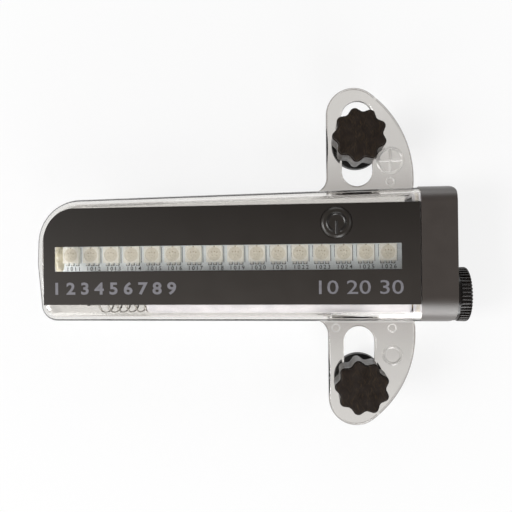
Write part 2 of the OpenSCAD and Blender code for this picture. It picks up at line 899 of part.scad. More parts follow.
// Rolling-ball sensor that tells when the wheel turns
module motion_sensor() {
    color([0.72, 0.72, 0.7])
        on_board(board_x + sensor_inset, button_high)
            translate([-sensor_len / 2, 0, sensor_r])
                rotate([0, 90, 0]) {
                    cylinder(r = sensor_r, h = sensor_len);
                    translate([0, 0, -sensor_lead_len])
                        cylinder(r = sensor_lead_r, h = sensor_len + 2 * sensor_lead_len);
                }
}

// A row of small parts soldered to the board above the lights
module chip_row(count, back, pitch, size) {
    for (i = [0:count - 1])
        on_board(button_x - back + i * pitch, button_high)
            translate([-size.x / 2, -size.y / 2, 0])
                cube(size);
}

module board_resistors() {
    color([0.12, 0.12, 0.13])
        chip_row(resistor_count, resistor_back, resistor_pitch, [resistor_w, resistor_l, resistor_t]);
}

module board_capacitors() {
    color([0.66, 0.53, 0.36])
        chip_row(capacitor_count, capacitor_back, capacitor_pitch, [capacitor_w, capacitor_l, capacitor_t]);
}

// Ring with a gap in front and a bar through the gap, on the button's face
module power_symbol() {
    gap = 3 * symbol_w;
    bar_end = symbol_r + 0.75 * symbol_w;
    linear_extrude(weld + symbol_t) {
        difference() {
            circle(symbol_r);
            circle(symbol_r - symbol_w);
            translate([-gap / 2, -2 * symbol_r])
                square([gap, 2 * symbol_r]);
        }
        translate([-symbol_w / 2, -bar_end])
            square([symbol_w, bar_end + symbol_w / 2]);
    }
}

module power_button() {
    top = housing_t + button_proud;
    flange_top = housing_t - wall - run_gap;
    stem_z = board_front + switch_t + 2 * button_travel;
    color([0.2, 0.19, 0.18])
        translate([button_x, button_high, 0]) {
            translate([0, 0, flange_top - flange_t])
                cylinder(r = flange_r, h = flange_t);
            translate([0, 0, flange_top - flange_t / 2])
                cylinder(r = button_r, h = top - flange_top + flange_t / 2);
            translate([0, 0, stem_z])
                cylinder(r = plunger_r, h = flange_top - flange_t / 2 - stem_z);
            translate([0, 0, top - weld])
                power_symbol();
        }
}

module switch_plunger() {
    bottom = board_front + glue_gap + switch_t / 2 + button_travel + run_gap;
    top = board_front + switch_t + 2 * button_travel - glue_gap;
    color([0.75, 0.72, 0.66])
        translate([button_x, button_high, bottom])
            cylinder(r = plunger_r, h = top - bottom);
}

// Flanged bush that runs in a wing's slot and keeps the bolt square
module clamp_bush(y) {
    neck = slot_w / 2 - run_gap;
    translate([slot_x, y, 0])
        difference() {
            union() {
                translate([0, 0, bush_z])
                    cylinder(r = bush_flange_r, h = bush_flange_t);
                translate([0, 0, wing_rear + 2 * run_gap])
                    cylinder(r = neck, h = bush_z + bush_flange_t / 2 - wing_rear - 2 * run_gap);
            }
            translate([0, 0, wing_rear - over])
                cylinder(r = bolt_r + run_gap, h = wing_t + bush_flange_t + 3 * over);
        }
}

// Star outline: round lobes with a hollow scooped between each pair, drawn in by a distance all round
module star_plan(inset) {
    step = 360 / knob_lobes;
    root_share = 0.6;
    difference() {
        union() {
            circle(knob_r - root_share * lobe_depth - inset);
            for (i = [0:knob_lobes - 1])
                rotate(i * step)
                    translate([knob_r - lobe_r, 0])
                        circle(lobe_r - inset);
        }
        for (i = [0:knob_lobes - 1])
            rotate((i + 0.5) * step)
                translate([knob_r - lobe_depth + lobe_r, 0])
                    circle(lobe_r + inset);
    }
}

module star_knob(y, turn) {
    bore_top = knob_h - knob_roof;
    translate([slot_x, y, knob_z])
        difference() {
            rotate(turn) {
                linear_extrude(knob_h - knob_step)
                    star_plan(0);
                linear_extrude(knob_h)
                    star_plan(knob_step);
            }
            translate([0, 0, -over])
                cylinder(r = insert_r + glue_gap, h = insert_len + glue_gap + over);
            translate([0, 0, -over])
                cylinder(r = bolt_r + seat_gap, h = bore_top + over);
        }
}

module knob_insert(y) {
    translate([slot_x, y, knob_z])
        difference() {
            cylinder(r = insert_r, h = insert_len);
            translate([0, 0, -over])
                cylinder(r = bolt_r + run_gap, h = insert_len + 2 * over);
        }
}

// Round-headed bolt, with a spoke groove across its head on each side of the shank
module clamp_bolt(y) {
    head_edge = 0.6;
    translate([slot_x, y, head_z]) {
        difference() {
            translate([0, 0, -head_t])
                rotate_extrude()
                    polygon([[0, 0], [head_r - head_edge, 0], [head_r, head_edge],
                             [head_r, head_t], [0, head_t]]);
            for (side = [-1, 1])
                translate([-head_r - over, side * groove_out, 0])
                    rotate([0, 90, 0])
                        cylinder(r = spoke_r, h = 2 * (head_r + over));
        }
        translate([0, 0, -head_t / 2])
            cylinder(r = bolt_r, h = bolt_tip - head_z + head_t / 2);
    }
}

module upper_bush() {
    color([0.1, 0.1, 0.1])
        clamp_bush(upper_clamp_high);
}

module upper_knob() {
    color([0.13, 0.11, 0.09])
        star_knob(upper_clamp_high, 22);
}

module upper_knob_insert() {
    color([0.76, 0.6, 0.28])
        knob_insert(upper_clamp_high);
}

module upper_clamp_bolt() {
    color([0.08, 0.08, 0.08])
        clamp_bolt(upper_clamp_high);
}

module lower_bush() {
    color([0.1, 0.1, 0.1])
        clamp_bush(-lower_clamp_low);
}

module lower_knob() {
    color([0.13, 0.11, 0.09])
        star_knob(-lower_clamp_low, 19);
}

module lower_knob_insert() {
    color([0.76, 0.6, 0.28])
        knob_insert(-lower_clamp_low);
}

module lower_clamp_bolt() {
    color([0.08, 0.08, 0.08])
        clamp_bolt(-lower_clamp_low);
}

// Metal cup in the battery cap: a floor with a dimple, and a skirt that reaches the contact ring
module cap_contact() {
    skirt_r = cup_r - run_gap;
    skirt_x = ring_x + contact_t + glue_gap;
    floor_x = cup_floor - run_gap - contact_t;
    dimple_r = 1.2;
    color([0.8, 0.78, 0.72]) {
        difference() {
            on_axis(skirt_x)
                cylinder(r = skirt_r, h = floor_x + contact_t - skirt_x);
            on_axis(skirt_x - over)
                cylinder(r = cell_r + seat_gap, h = floor_x - skirt_x + over);
        }
        on_axis(floor_x - contact_dimple)
            cylinder(r = dimple_r, h = contact_dimple + contact_t / 2);
    }
}

module battery_cap() {
    collar_x = face_x + seat_gap;
    grip_x = collar_x + collar_len;
    collar_step = 0.15;
    knurl_r = 0.35;
    groove_r = shank_r - ring_d - run_gap;
    color([0.12, 0.11, 0.1])
        difference() {
            union() {
                on_axis(shank_x)
                    cylinder(r = shank_r, h = collar_x + collar_len / 2 - shank_x);
                on_axis(collar_x)
                    cylinder(r = collar_r, h = collar_len + collar_step);
                on_axis(grip_x)
                    rotate_extrude()
                        rim(grip_r, grip_len, 0, grip_edge_r);
            }
            on_axis(shank_x - over)
                cylinder(r = cup_r, h = cup_floor - shank_x + over);
            on_axis(seal_ring_x - ring_d / 2 - run_gap)
                difference() {
                    cylinder(r = shank_r + over, h = ring_d + 2 * run_gap);
                    translate([0, 0, -over])
                        cylinder(r = groove_r, h = ring_d + 2 * run_gap + 2 * over);
                }
            for (i = [0:grip_ribs - 1])
                on_axis(grip_x + 2 * collar_step)
                    rotate(i * 360 / grip_ribs)
                        translate([grip_r + knurl_r / 3, 0, 0])
                            cylinder(r = knurl_r, h = grip_len, $fn = 24);
        }
}

module cap_seal_ring() {
    color([0.45, 0.12, 0.1])
        on_axis(seal_ring_x)
            rotate_extrude()
                translate([shank_r - ring_d / 2, 0])
                    circle(d = ring_d - run_gap);
}

housing();
front_label();
back_label();
end_cap();
end_cap_seal();
battery_tube();
left_cell();
right_cell();
battery_spring();
spring_plate();
contact_ring();
circuit_board();
front_leds();
back_leds();
led_driver();
tact_switch();
motion_sensor();
board_resistors();
board_capacitors();
power_button();
switch_plunger();
upper_bush();
upper_knob();
upper_knob_insert();
upper_clamp_bolt();
lower_bush();
lower_knob();
lower_knob_insert();
lower_clamp_bolt();
cap_contact();
battery_cap();
cap_seal_ring();
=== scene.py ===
import bpy
import bmesh
import math
from mathutils import Matrix, Vector


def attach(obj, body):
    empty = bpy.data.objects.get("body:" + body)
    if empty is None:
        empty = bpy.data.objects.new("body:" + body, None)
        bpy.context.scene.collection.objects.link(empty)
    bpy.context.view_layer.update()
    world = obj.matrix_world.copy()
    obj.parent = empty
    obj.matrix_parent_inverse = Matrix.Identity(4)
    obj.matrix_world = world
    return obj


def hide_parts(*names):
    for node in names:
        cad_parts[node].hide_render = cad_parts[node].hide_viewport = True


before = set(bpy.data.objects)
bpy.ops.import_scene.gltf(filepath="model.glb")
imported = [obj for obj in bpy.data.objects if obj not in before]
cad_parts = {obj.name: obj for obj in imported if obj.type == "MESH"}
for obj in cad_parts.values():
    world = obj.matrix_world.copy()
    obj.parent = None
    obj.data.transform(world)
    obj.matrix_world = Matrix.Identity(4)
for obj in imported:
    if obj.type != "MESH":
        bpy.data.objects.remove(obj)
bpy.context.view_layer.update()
mm = 0.001
print("frame loaded,", len(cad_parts), "nodes")


# colours and nodes
def hexColour(code):
    parts = [int(code[i:i + 2], 16) / 255 for i in (1, 3, 5)]
    return tuple(c / 12.92 if c <= 0.04045 else ((c + 0.055) / 1.055) ** 2.4 for c in parts) + (1.0,)


def addNode(tree, kind, links=None, **settings):
    node = tree.nodes.new(kind)
    for key, value in settings.items():
        setattr(node, key, value)
    for key, value in (links or {}).items():
        if isinstance(value, bpy.types.NodeSocket):
            tree.links.new(value, node.inputs[key])
        else:
            node.inputs[key].default_value = value
    return node


def emptyTree(owner):
    owner.use_nodes = True
    owner.node_tree.nodes.clear()
    return owner.node_tree


def startMaterial(name, fixed):
    mat = bpy.data.materials.new(name)
    tree = emptyTree(mat)
    shader = addNode(tree, "ShaderNodeBsdfPrincipled", fixed)
    addNode(tree, "ShaderNodeOutputMaterial", {"Surface": shader.outputs[0]})
    place = addNode(tree, "ShaderNodeTexCoord").outputs["Object"]
    return mat, tree, shader, place


def noise(tree, place, size, detail):
    links = {"Vector": place, "Scale": 1 / (size * mm), "Detail": detail}
    return addNode(tree, "ShaderNodeTexNoise", links).outputs[0]


def mapRange(tree, value, low, high, start=0.0, stop=1.0, **settings):
    links = {"Value": value, "From Min": low, "From Max": high, "To Min": start, "To Max": stop}
    return addNode(tree, "ShaderNodeMapRange", links, **settings).outputs[0]


def mixColour(tree, share, first, tone):
    links = {0: share, 6: first, 7: hexColour(tone)}
    return addNode(tree, "ShaderNodeMix", links, data_type="RGBA").outputs[2]


def linkShader(tree, shader, colour, gloss, height, deep, strength):
    bump = addNode(tree, "ShaderNodeBump", {
        "Height": height, "Distance": deep * mm, "Strength": strength}).outputs[0]
    for key, socket in (("Base Color", colour), ("Roughness", gloss), ("Normal", bump)):
        tree.links.new(socket, shader.inputs[key])


grained = dict(spread=(0.32, 0.68), patchDetail=4.0, grainDetail=2.0, hairDetail=1.0, strength=0.6)


def grainedFinish(name, fixed=None, **look):
    # two shades in soft patches, a gloss that follows them, and a fine grain; sizes in mm
    mat, tree, shader, place = startMaterial(name, fixed or {})
    patches = noise(tree, place, look["patch"], grained["patchDetail"])
    spread = mapRange(tree, patches, *grained["spread"])
    colour = mixColour(tree, spread, hexColour(look["dark"]), look["light"])
    gloss = mapRange(tree, spread, 0, 1, *look["rough"])
    # painted shade: an optional fade darkens the tone slowly across the piece, where less light falls
    if "fade" in look:
        start, stop, tone = look["fade"]  # a slow change of tone across the piece
        across = addNode(tree, "ShaderNodeSeparateXYZ", {0: place}).outputs[1]
        colour = mixColour(tree, mapRange(tree, across, start * mm, stop * mm), colour, tone)
    grain = noise(tree, place, look["grain"], grained["grainDetail"])
    linkShader(tree, shader, colour, gloss, grain, look["depth"], grained["strength"])
    return mat


def scratchedFinish(name, fixed=None, **look):
    # a grained finish with fine handling scratches that catch the light
    mat = grainedFinish(name, fixed, **look)
    tree = mat.node_tree
    shader = next(n for n in tree.nodes if n.type == "BSDF_PRINCIPLED")
    place = next(n for n in tree.nodes if n.type == "TEX_COORD").outputs["Object"]
    base = shader.inputs["Base Color"].links[0].from_socket
    for turn in look["turns"]:
        turned = addNode(tree, "ShaderNodeMapping", {
            "Vector": place, "Rotation": (0, 0, math.radians(turn)), "Scale": (1, look["stretch"], 1)},
            vector_type="TEXTURE")
        hairs = noise(tree, turned.outputs[0], look["hair"], grained["hairDetail"])
        line = mapRange(tree, hairs, *look["cut"], stop=look["shine"])
        base = mixColour(tree, line, base, look["scratch"])
    tree.links.new(base, shader.inputs["Base Color"])
    return mat


# distances from the light's long axis where the wings' painted shade begins at the root and fades towards the
# tip, and the waves of the moulding
clear = dict(
    root=(19.0, 20.0), tip=(20.5, 33.0), ior=1.58, haze=6, hazeDetail=5.0, spread=(0.35, 0.7),
    rough=(0.02, 0.08), wave=9, waveDetail=1.0, deep=0.25, strength=0.25)


def clearFinish(name, **tintsAndPaintedShade):
    mat, tree, shader, place = startMaterial(name, {"Transmission Weight": 1.0, "IOR": clear["ior"]})
    across = addNode(tree, "ShaderNodeSeparateXYZ", {0: place}).outputs[1]
    reach = addNode(tree, "ShaderNodeMath", {0: across}, operation="ABSOLUTE").outputs[0]
    tintAndPaintedShade = hexColour(tintsAndPaintedShade["wall"])
    # painted shade: the wings darken past the root and lighten again towards the tip
    for zone in ("root", "tip"):
        near, far = clear[zone]
        tintAndPaintedShade = mixColour(tree, mapRange(tree, reach, near * mm, far * mm), tintAndPaintedShade, tintsAndPaintedShade[zone])
    haze = noise(tree, place, clear["haze"], clear["hazeDetail"])
    gloss = mapRange(tree, haze, *clear["spread"], *clear["rough"])
    waves = noise(tree, place, clear["wave"], clear["waveDetail"])
    linkShader(tree, shader, tintAndPaintedShade, gloss, waves, clear["deep"], clear["strength"])
    return mat


# clear polycarbonate, injection moulded: glassy walls, the wings tinted darker as painted shade of the
# shadowed floor seen through them, darkest at the root, with slow flow waves
clearPlastic = clearFinish("clearPolycarbonate", wall="#F1EFEC", root="#BFBBB7", tip="#DCD9D5")
# its cut edge, darkened as painted shade for the dark line left where light runs inside the plate, darkest at
# the root
rimPaintedShade = clearFinish("clearPolycarbonateRimPaintedShade", wall="#F1EFEC", root="#7D7975", tip="#86827E")
# the same plastic where the mould is etched: raised marks look frosted and paler
frostPlastic = grainedFinish(
    "frostedPolycarbonate", dark="#F2F0ED", light="#FAF9F7", patch=2, rough=(0.16, 0.26), grain=0.3,
    depth=0.01, fixed={"Transmission Weight": 0.62, "IOR": 1.58})
# screen-printed polyester film: matt, dark warm grey, with a very fine tooth, and painted shade darkening it
# towards its top edge
filmDark = grainedFinish(
    "printedPolyesterFilm", dark="#35302C", light="#393430", patch=9, rough=(0.52, 0.6), grain=0.16,
    depth=0.012, fade=(-13, 15, "#221D19"), fixed={"Specular IOR Level": 0.3})
# rubbery key of the same colour, a little glossier, so its embossing catches the light
keyRubber = grainedFinish(
    "softKeyRubber", dark="#28241F", light="#2D2824", patch=3, rough=(0.28, 0.34), grain=0.2, depth=0.004)
# the raised symbol is of the same rubber, coloured darker as painted shade of its embossing, with a soft
# shine on its flanks
keyPaintedShade = grainedFinish(
    "keyRubberPaintedShade", dark="#1A1714", light="#1F1B18", patch=3, rough=(0.26, 0.32), grain=0.2, depth=0.002)
# grey screen ink on the film, slightly chalky
filmInk = grainedFinish(
    "greyScreenInk", dark="#77757A", light="#848288", patch=1.5, rough=(0.5, 0.62), grain=0.2, depth=0.006)
# end cap of natural ABS, sprayed dark outside under a thin satin lacquer: soft wide highlights
capSatin = grainedFinish(
    "satinLacqueredAbs", dark="#2F251E", light="#342A23", patch=7, rough=(0.4, 0.48), grain=0.22,
    depth=0.01, fixed={"Coat Weight": 0.9, "Coat Roughness": 0.4, "Coat IOR": 1.7})
# glass-filled nylon knobs: near black, satin, with handling scratches; hairs drawn coarser than life to show
knobNylon = scratchedFinish(
    "glassFilledNylon", dark="#1A120D", light="#231A14", patch=2.5, rough=(0.3, 0.42), grain=0.3,
    depth=0.012, turns=(-30, 5, 30), stretch=34, hair=0.08, cut=(0.67, 0.72), shine=0.5, scratch="#5B4B33",
    fixed={"Specular IOR Level": 0.4})
# plain black nylon of bolts and bushes, a little duller
boltNylon = grainedFinish(
    "blackNylon", dark="#0E0C0B", light="#141211", patch=3, rough=(0.4, 0.52), grain=0.25, depth=0.015,
    fixed={"Specular IOR Level": 0.35})
# moulded brown-black nylon of the screw cap, glossier on its ribs
screwCapNylon = grainedFinish(
    "brownBlackNylon", dark="#140F0C", light="#201915", patch=2, rough=(0.18, 0.28), grain=0.3, depth=0.008)
# undyed silicone of the flat seal, pale and dull
sealRubber = grainedFinish(
    "undyedSilicone", dark="#BDB8B1", light="#CCC7C0", patch=2, rough=(0.6, 0.75), grain=0.3, depth=0.02)
# red silicone of the cap's seal ring, soft sheen
ringRubber = grainedFinish(
    "redSilicone", dark="#6E1E18", light="#84271F", patch=2, rough=(0.4, 0.5), grain=0.3, depth=0.01)
# natural polypropylene sleeve: milky, waxy, lets some light through
sleeveMilky = grainedFinish(
    "naturalPolypropylene", dark="#B9B7BB", light="#C9C7CA", patch=5, rough=(0.35, 0.45), grain=0.6,
    depth=0.01,
    fixed={"Subsurface Weight": 0.25, "Subsurface Radius": (0.0012, 0.0011, 0.001), "Subsurface Scale": 1.0})
# plain shrink sleeve of the cells: metallic gold film, glossy
cellWrap = grainedFinish(
    "goldShrinkSleeve", dark="#8F7436", light="#B4964C", patch=6, rough=(0.22, 0.32), grain=1.2, depth=0.01,
    fixed={"Metallic": 0.6})
# drawn spring wire, bright with drawing marks
springSteel = grainedFinish(
    "drawnSpringSteel", dark="#8E8B86", light="#BDBAB4", patch=0.8, rough=(0.22, 0.36), grain=0.15,
    depth=0.006, fixed={"Metallic": 1.0})
# nickel-plated strip contacts, slightly yellow
contactNickel = grainedFinish(
    "nickelPlate", dark="#A9A59A", light="#C9C5B9", patch=1.5, rough=(0.2, 0.34), grain=0.2, depth=0.006,
    fixed={"Metallic": 1.0})
# turned brass inserts
insertBrass = grainedFinish(
    "turnedBrass", dark="#A5833E", light="#C29C52", patch=1, rough=(0.25, 0.36), grain=0.15, depth=0.006,
    fixed={"Metallic": 1.0})
# white solder mask on glass-epoxy board, cool and slightly glossy
boardMask = grainedFinish(
    "whiteSolderMask", dark="#DCE3E8", light="#E8EEF1", patch=3, rough=(0.3, 0.42), grain=0.5, depth=0.01)
# dark grey ink on the board
boardInk = grainedFinish(
    "boardInk", dark="#2E2F30", light="#434445", patch=0.6, rough=(0.5, 0.6), grain=0.2, depth=0.004)
# white nylon light packages, matt
packageWhite = grainedFinish(
    "whiteLightPackage", dark="#E9E7DD", light="#F1EFE7", patch=1.2, rough=(0.35, 0.45), grain=0.3,
    depth=0.008)
# milky resin with phosphor and chips below it, waxy beige
resinMilky = grainedFinish(
    "milkyResin", dark="#DBD5C5", light="#E6E0D1", patch=0.9, rough=(0.2, 0.3), grain=0.5, depth=0.01)
# small chips and their wires, seen dimly through the resin
chipUnderResin = grainedFinish(
    "chipUnderResin", dark="#A3967F", light="#B5A993", patch=0.3, rough=(0.25, 0.35), grain=0.2,
    depth=0.004)
# tinned leads and solder, soft bright grey
solderTin = grainedFinish(
    "tinnedLead", dark="#D3D3CF", light="#E2E2DD", patch=0.5, rough=(0.35, 0.5), grain=0.15, depth=0.01,
    fixed={"Metallic": 0.15})
# black epoxy of the chips, matt
chipEpoxy = grainedFinish(
    "blackEpoxy", dark="#19191A", light="#232324", patch=1, rough=(0.5, 0.62), grain=0.12, depth=0.01)
# fired ceramic of the capacitors, tan
ceramicTan = grainedFinish(
    "tanCeramic", dark="#9E8160", light="#B59772", patch=0.7, rough=(0.45, 0.55), grain=0.12, depth=0.008)
# drawn steel can of the motion sensor
sensorCan = grainedFinish(
    "drawnSteelCan", dark="#A2A29E", light="#C2C2BD", patch=1.2, rough=(0.24, 0.36), grain=0.2, depth=0.006,
    fixed={"Metallic": 1.0})
# acetal plunger of the switch, ivory
plungerAcetal = grainedFinish(
    "ivoryAcetal", dark="#CBC2AE", light="#DAD2C1", patch=1, rough=(0.32, 0.4), grain=0.2, depth=0.006)
# dried clear glue that holds the board's end, yellowed
glueAmber = grainedFinish(
    "yellowedGlue", dark="#D8D0B4", light="#F0EBDA", patch=1.2, rough=(0.1, 0.2), grain=0.8, depth=0.12,
    fixed={"Transmission Weight": 0.3, "IOR": 1.48})
print("materials ready,", len(bpy.data.materials))

# meshes; lengths in mm, flat in degrees
meshing = dict(merge=0.002, flat=0.3, seam=0.0005, thin=0.0001, normalWeight=80, letterSteps=3)


def newObject(name, data):
    obj = bpy.data.objects.new(name, data)
    bpy.context.scene.collection.objects.link(obj)
    return obj


def keepBmesh(name, bm):
    mesh = bpy.data.meshes.new(name)
    bm.to_mesh(mesh)
    bm.free()
    return newObject(name, mesh)


def fromBmesh(name, bm):
    bmesh.ops.recalc_face_normals(bm, faces=bm.faces)
    return keepBmesh(name, bm)


def plainMesh(obj):
    graph = bpy.context.evaluated_depsgraph_get()
    return bpy.data.meshes.new_from_object(obj.evaluated_get(graph), depsgraph=graph)


def settle(obj):
    # makes the modifiers' result the object's own plain mesh
    mesh = plainMesh(obj)
    mesh.name = obj.name
    obj.modifiers.clear()
    obj.data = mesh
    return obj


def combine(obj, tool, operation):
    mod = obj.modifiers.new("combine", "BOOLEAN")
    mod.operation = operation
    mod.solver = "EXACT"
    mod.object = tool
    settle(obj)
    bpy.data.objects.remove(tool)
    return obj


def soften(obj, width=0.0, angle=35, segments=2):
    # small moulded edges, then smooth shading between them
    if width:
        mod = obj.modifiers.new("edge", "BEVEL")
        mod.width = width * mm
        mod.segments = segments
        mod.limit_method = "ANGLE"
        mod.angle_limit = math.radians(angle)
        mod.use_clamp_overlap = True
        settle(obj)
    for face in obj.data.polygons:
        face.use_smooth = True
    obj.data.set_sharp_from_angle(angle=math.radians(angle))
    mod = obj.modifiers.new("normals", "WEIGHTED_NORMAL")
    mod.keep_sharp = True
    mod.weight = meshing["normalWeight"]
    return settle(obj)


def finishPiece(obj, mat, body, slot, *nodes):
    if mat:
        obj.data.materials.clear()
        obj.data.materials.append(mat)
    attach(obj, body)
    if nodes:
        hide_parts(*nodes)
    return obj


def cadCopy(node, name, flatten=False):
    # a merged copy of a CAD node, whose own mesh is left alone
    bm = bmesh.new()
    bm.from_mesh(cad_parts[node].data)
    bmesh.ops.remove_doubles(bm, verts=bm.verts, dist=meshing["merge"] * mm)
    if flatten:
        limit = math.radians(meshing["flat"])
        bmesh.ops.dissolve_limit(bm, angle_limit=limit, verts=bm.verts, edges=bm.edges)
    return keepBmesh(name, bm)


def dress(node, name, mat, body, slot, width=0.0, angle=35, segments=2):
    # a copy of a CAD node with softened edges stands for it
    obj = soften(cadCopy(node, name, True), width, angle, segments)
    return finishPiece(obj, mat, body, slot, node)


def skin(bm, rows):
    for low, high in zip(rows, rows[1:]):
        for k in range(len(low) - 1):
            bm.faces.new((low[k], low[k + 1], high[k + 1], high[k]))


def loft(name, rows, closed=False):
    # a skin round rows of points; closed joins the last row to the first, otherwise both ends are capped
    bm = bmesh.new()
    rows = [[bm.verts.new(Vector(p) * mm) for p in row] for row in rows]
    skin(bm, [row + row[:1] for row in rows + (rows[:1] if closed else [])])
    if not closed:
        bm.faces.new(rows[0])
        bm.faces.new(rows[-1])
    return fromBmesh(name, bm)


def prism(name, outline, low, high):
    bm = bmesh.new()
    rows = [[bm.verts.new((x * mm, y * mm, z * mm)) for x, y in outline] for z in (low, high)]
    bm.faces.new(rows[0])
    bm.faces.new(rows[1])
    for i in range(len(outline)):
        j = (i + 1) % len(outline)
        bm.faces.new((rows[0][i], rows[0][j], rows[1][j], rows[1][i]))
    return fromBmesh(name, bm)


def rectangle(x0, x1, y0, y1):
    return [(x0, y0), (x1, y0), (x1, y1), (x0, y1)]


def arcPoints(centre, radius, first, last, steps):
    angles = [math.radians(first + (last - first) * i / steps) for i in range(steps + 1)]
    return [(centre[0] + radius * math.cos(a), centre[1] + radius * math.sin(a)) for a in angles]


def circle(centre, radius, sides, first=0):
    return arcPoints(centre, radius, first, first + 360 - 360 / sides, sides - 1)


def lathe(name, profile, centre, axis, sides):
    # profile holds (radius, distance along the axis) pairs
    bm = bmesh.new()
    axis = Vector(axis)
    side = axis.orthogonal().normalized()
    up = axis.cross(side)
    rings = []
    for i in range(sides):
        a = 2 * math.pi * i / sides
        out = side * math.cos(a) + up * math.sin(a)
        rings.append([bm.verts.new((Vector(centre) + out * r + axis * h) * mm) for r, h in profile])
    for i in range(sides):
        here, there = rings[i], rings[(i + 1) % sides]
        for k in range(len(profile) - 1):
            bm.faces.new((here[k], there[k], there[k + 1], here[k + 1]))
    bmesh.ops.remove_doubles(bm, verts=bm.verts, dist=meshing["seam"] * mm)
    bmesh.ops.dissolve_degenerate(bm, edges=bm.edges, dist=meshing["thin"] * mm)
    return fromBmesh(name, bm)


def rod(name, radius, start, end, centre, axis, sides):
    return lathe(name, [(0, start), (radius, start), (radius, end), (0, end)], centre, axis, sides)


def rounded(radius, level, steps):
    # profile points by how far they lie in from a radius and along from a level
    return [(radius - inset, level + along) for inset, along in steps]


def joinMeshes(name, meshes):
    bm = bmesh.new()
    for mesh in meshes:
        bm.from_mesh(mesh)
    return keepBmesh(name, bm)


def joinObjects(name, objs):
    whole = joinMeshes(name, [obj.data for obj in objs])
    for obj in objs:
        bpy.data.objects.remove(obj)
    return whole


def shiftPiece(obj, x, y=0, wide=1):
    obj.data.transform(Matrix.Translation((x * mm, y * mm, 0)) @ Matrix.Diagonal((1, wide, 1, 1)))


def stretchEnd(obj, beyond, reach):
    # what lies past a place along x moves on, so the piece grows at that end
    for vert in obj.data.vertices:
        if vert.co.x > beyond * mm:
            vert.co.x += reach * mm


def textMesh(words, size, at, depth, bold=0.0, apart=1.0):
    curve = bpy.data.curves.new("words", "FONT")
    curve.body = words
    curve.size = size * mm
    curve.offset = bold * mm
    curve.space_character = apart
    curve.extrude = depth * mm / 2
    curve.align_x = "CENTER"
    curve.align_y = "CENTER"
    curve.resolution_u = meshing["letterSteps"]
    obj = newObject("words", curve)
    mesh = plainMesh(obj)
    mesh.transform(Matrix.Translation(Vector(at) * mm))
    bpy.data.objects.remove(obj)
    bm = bmesh.new()
    bm.from_mesh(mesh)
    bmesh.ops.remove_doubles(bm, verts=bm.verts, dist=meshing["seam"] * mm)  # closes the letters' seams
    bmesh.ops.recalc_face_normals(bm, faces=bm.faces)
    bm.to_mesh(mesh)
    bm.free()
    return mesh


# one tree repeats a piece along a step, around a centre, or both
def copiesTree():
    tree = bpy.data.node_groups.new("copiesInARow", "GeometryNodeTree")
    face = tree.interface
    face.new_socket("Geometry", in_out="INPUT", socket_type="NodeSocketGeometry")
    vector = "NodeSocketVector"
    for label, kind in (("Count", "NodeSocketInt"), ("Step", vector), ("Turn", vector), ("Centre", vector),
                        ("Finish", "NodeSocketMaterial")):
        face.new_socket(label, in_out="INPUT", socket_type=kind)
    face.new_socket("Geometry", in_out="OUTPUT", socket_type="NodeSocketGeometry")
    given = addNode(tree, "NodeGroupInput").outputs
    line = addNode(tree, "GeometryNodeMeshLine", {
        "Count": given["Count"], "Offset": given["Step"]}, mode="OFFSET")
    index = addNode(tree, "GeometryNodeInputIndex")
    spin = addNode(tree, "ShaderNodeVectorMath", {
        0: given["Turn"], "Scale": index.outputs[0]}, operation="SCALE")
    back = addNode(tree, "ShaderNodeVectorMath", {0: given["Centre"], "Scale": -1.0}, operation="SCALE")
    centred = addNode(tree, "GeometryNodeTransform", {
        "Geometry": given["Geometry"], "Translation": back.outputs[0]})
    row = addNode(tree, "GeometryNodeInstanceOnPoints", {
        "Points": line.outputs[0], "Instance": centred.outputs[0], "Rotation": spin.outputs[0]})
    placed = addNode(tree, "GeometryNodeTransform", {
        "Geometry": row.outputs[0], "Translation": given["Centre"]})
    real = addNode(tree, "GeometryNodeRealizeInstances", {"Geometry": placed.outputs[0]})
    painted = addNode(tree, "GeometryNodeSetMaterial", {
        "Geometry": real.outputs[0], "Material": given["Finish"]})
    addNode(tree, "NodeGroupOutput", {"Geometry": painted.outputs[0]})
    return tree


copies = copiesTree()


def repeat(obj, count, finish, step=(0, 0, 0), turn=(0, 0, 0), centre=(0, 0, 0)):
    mod = obj.modifiers.new("copies", "NODES")
    mod.node_group = copies
    given = {"Count": count, "Step": [v * mm for v in step], "Turn": [math.radians(v) for v in turn],
             "Centre": [v * mm for v in centre], "Finish": finish}
    for item in copies.interface.items_tree:
        if item.in_out == "INPUT" and item.name in given:
            mod[item.identifier] = given[item.name]
    obj.data.update()
    return settle(obj)


# camera, floor and lamps
view = dict(
    eye=(20.45, -0.73, 180.43), focalPixels=562.758, framePixels=512, sensor=36, near=0.01,
    right=(0.99443, -0.00993, -0.10489), down=(-0.01053, -0.99993, -0.00523))


def setCamera():
    data = bpy.data.cameras.new("camera")
    data.sensor_width = view["sensor"]
    data.sensor_fit = "HORIZONTAL"
    data.lens = view["focalPixels"] / view["framePixels"] * view["sensor"]
    data.clip_start = view["near"]
    right = Vector(view["right"]).normalized()
    up = -Vector(view["down"])
    up = (up - right * up.dot(right)).normalized()
    turn = Matrix((right, up, right.cross(up))).transposed().to_4x4()
    camera = newObject("camera", data)
    camera.matrix_world = Matrix.Translation(Vector(view["eye"]) * mm) @ turn
    bpy.context.scene.camera = camera


setCamera()
# lamps: name, place and size in metres, power
studio = dict(
    paper="#F4F4F4", floorHalf=3000, floorThick=5, floorGap=0.15, floorGlow=0.78, floorFade=(0.05, 0.2),
    world=0.2, lamps=(("strip", (0.16, -0.5, 0.05), (0.26, 0.08), 0.6),
        ("front", (0.16, -0.5, 0.28), (0.22, 0.36), 1.5), ("corner", (-0.36, -0.42, 0.28), (0.26, 0.18), 0.6),
        ("left", (-0.85, -0.2, 0.72), (0.5, 0.5), 7.8), ("rear", (0.05, 0.6, 0.2), (0.5, 0.3), 0.9),
        ("right", (0.8, 0.05, 0.7), (0.4, 0.4), 1.2)))


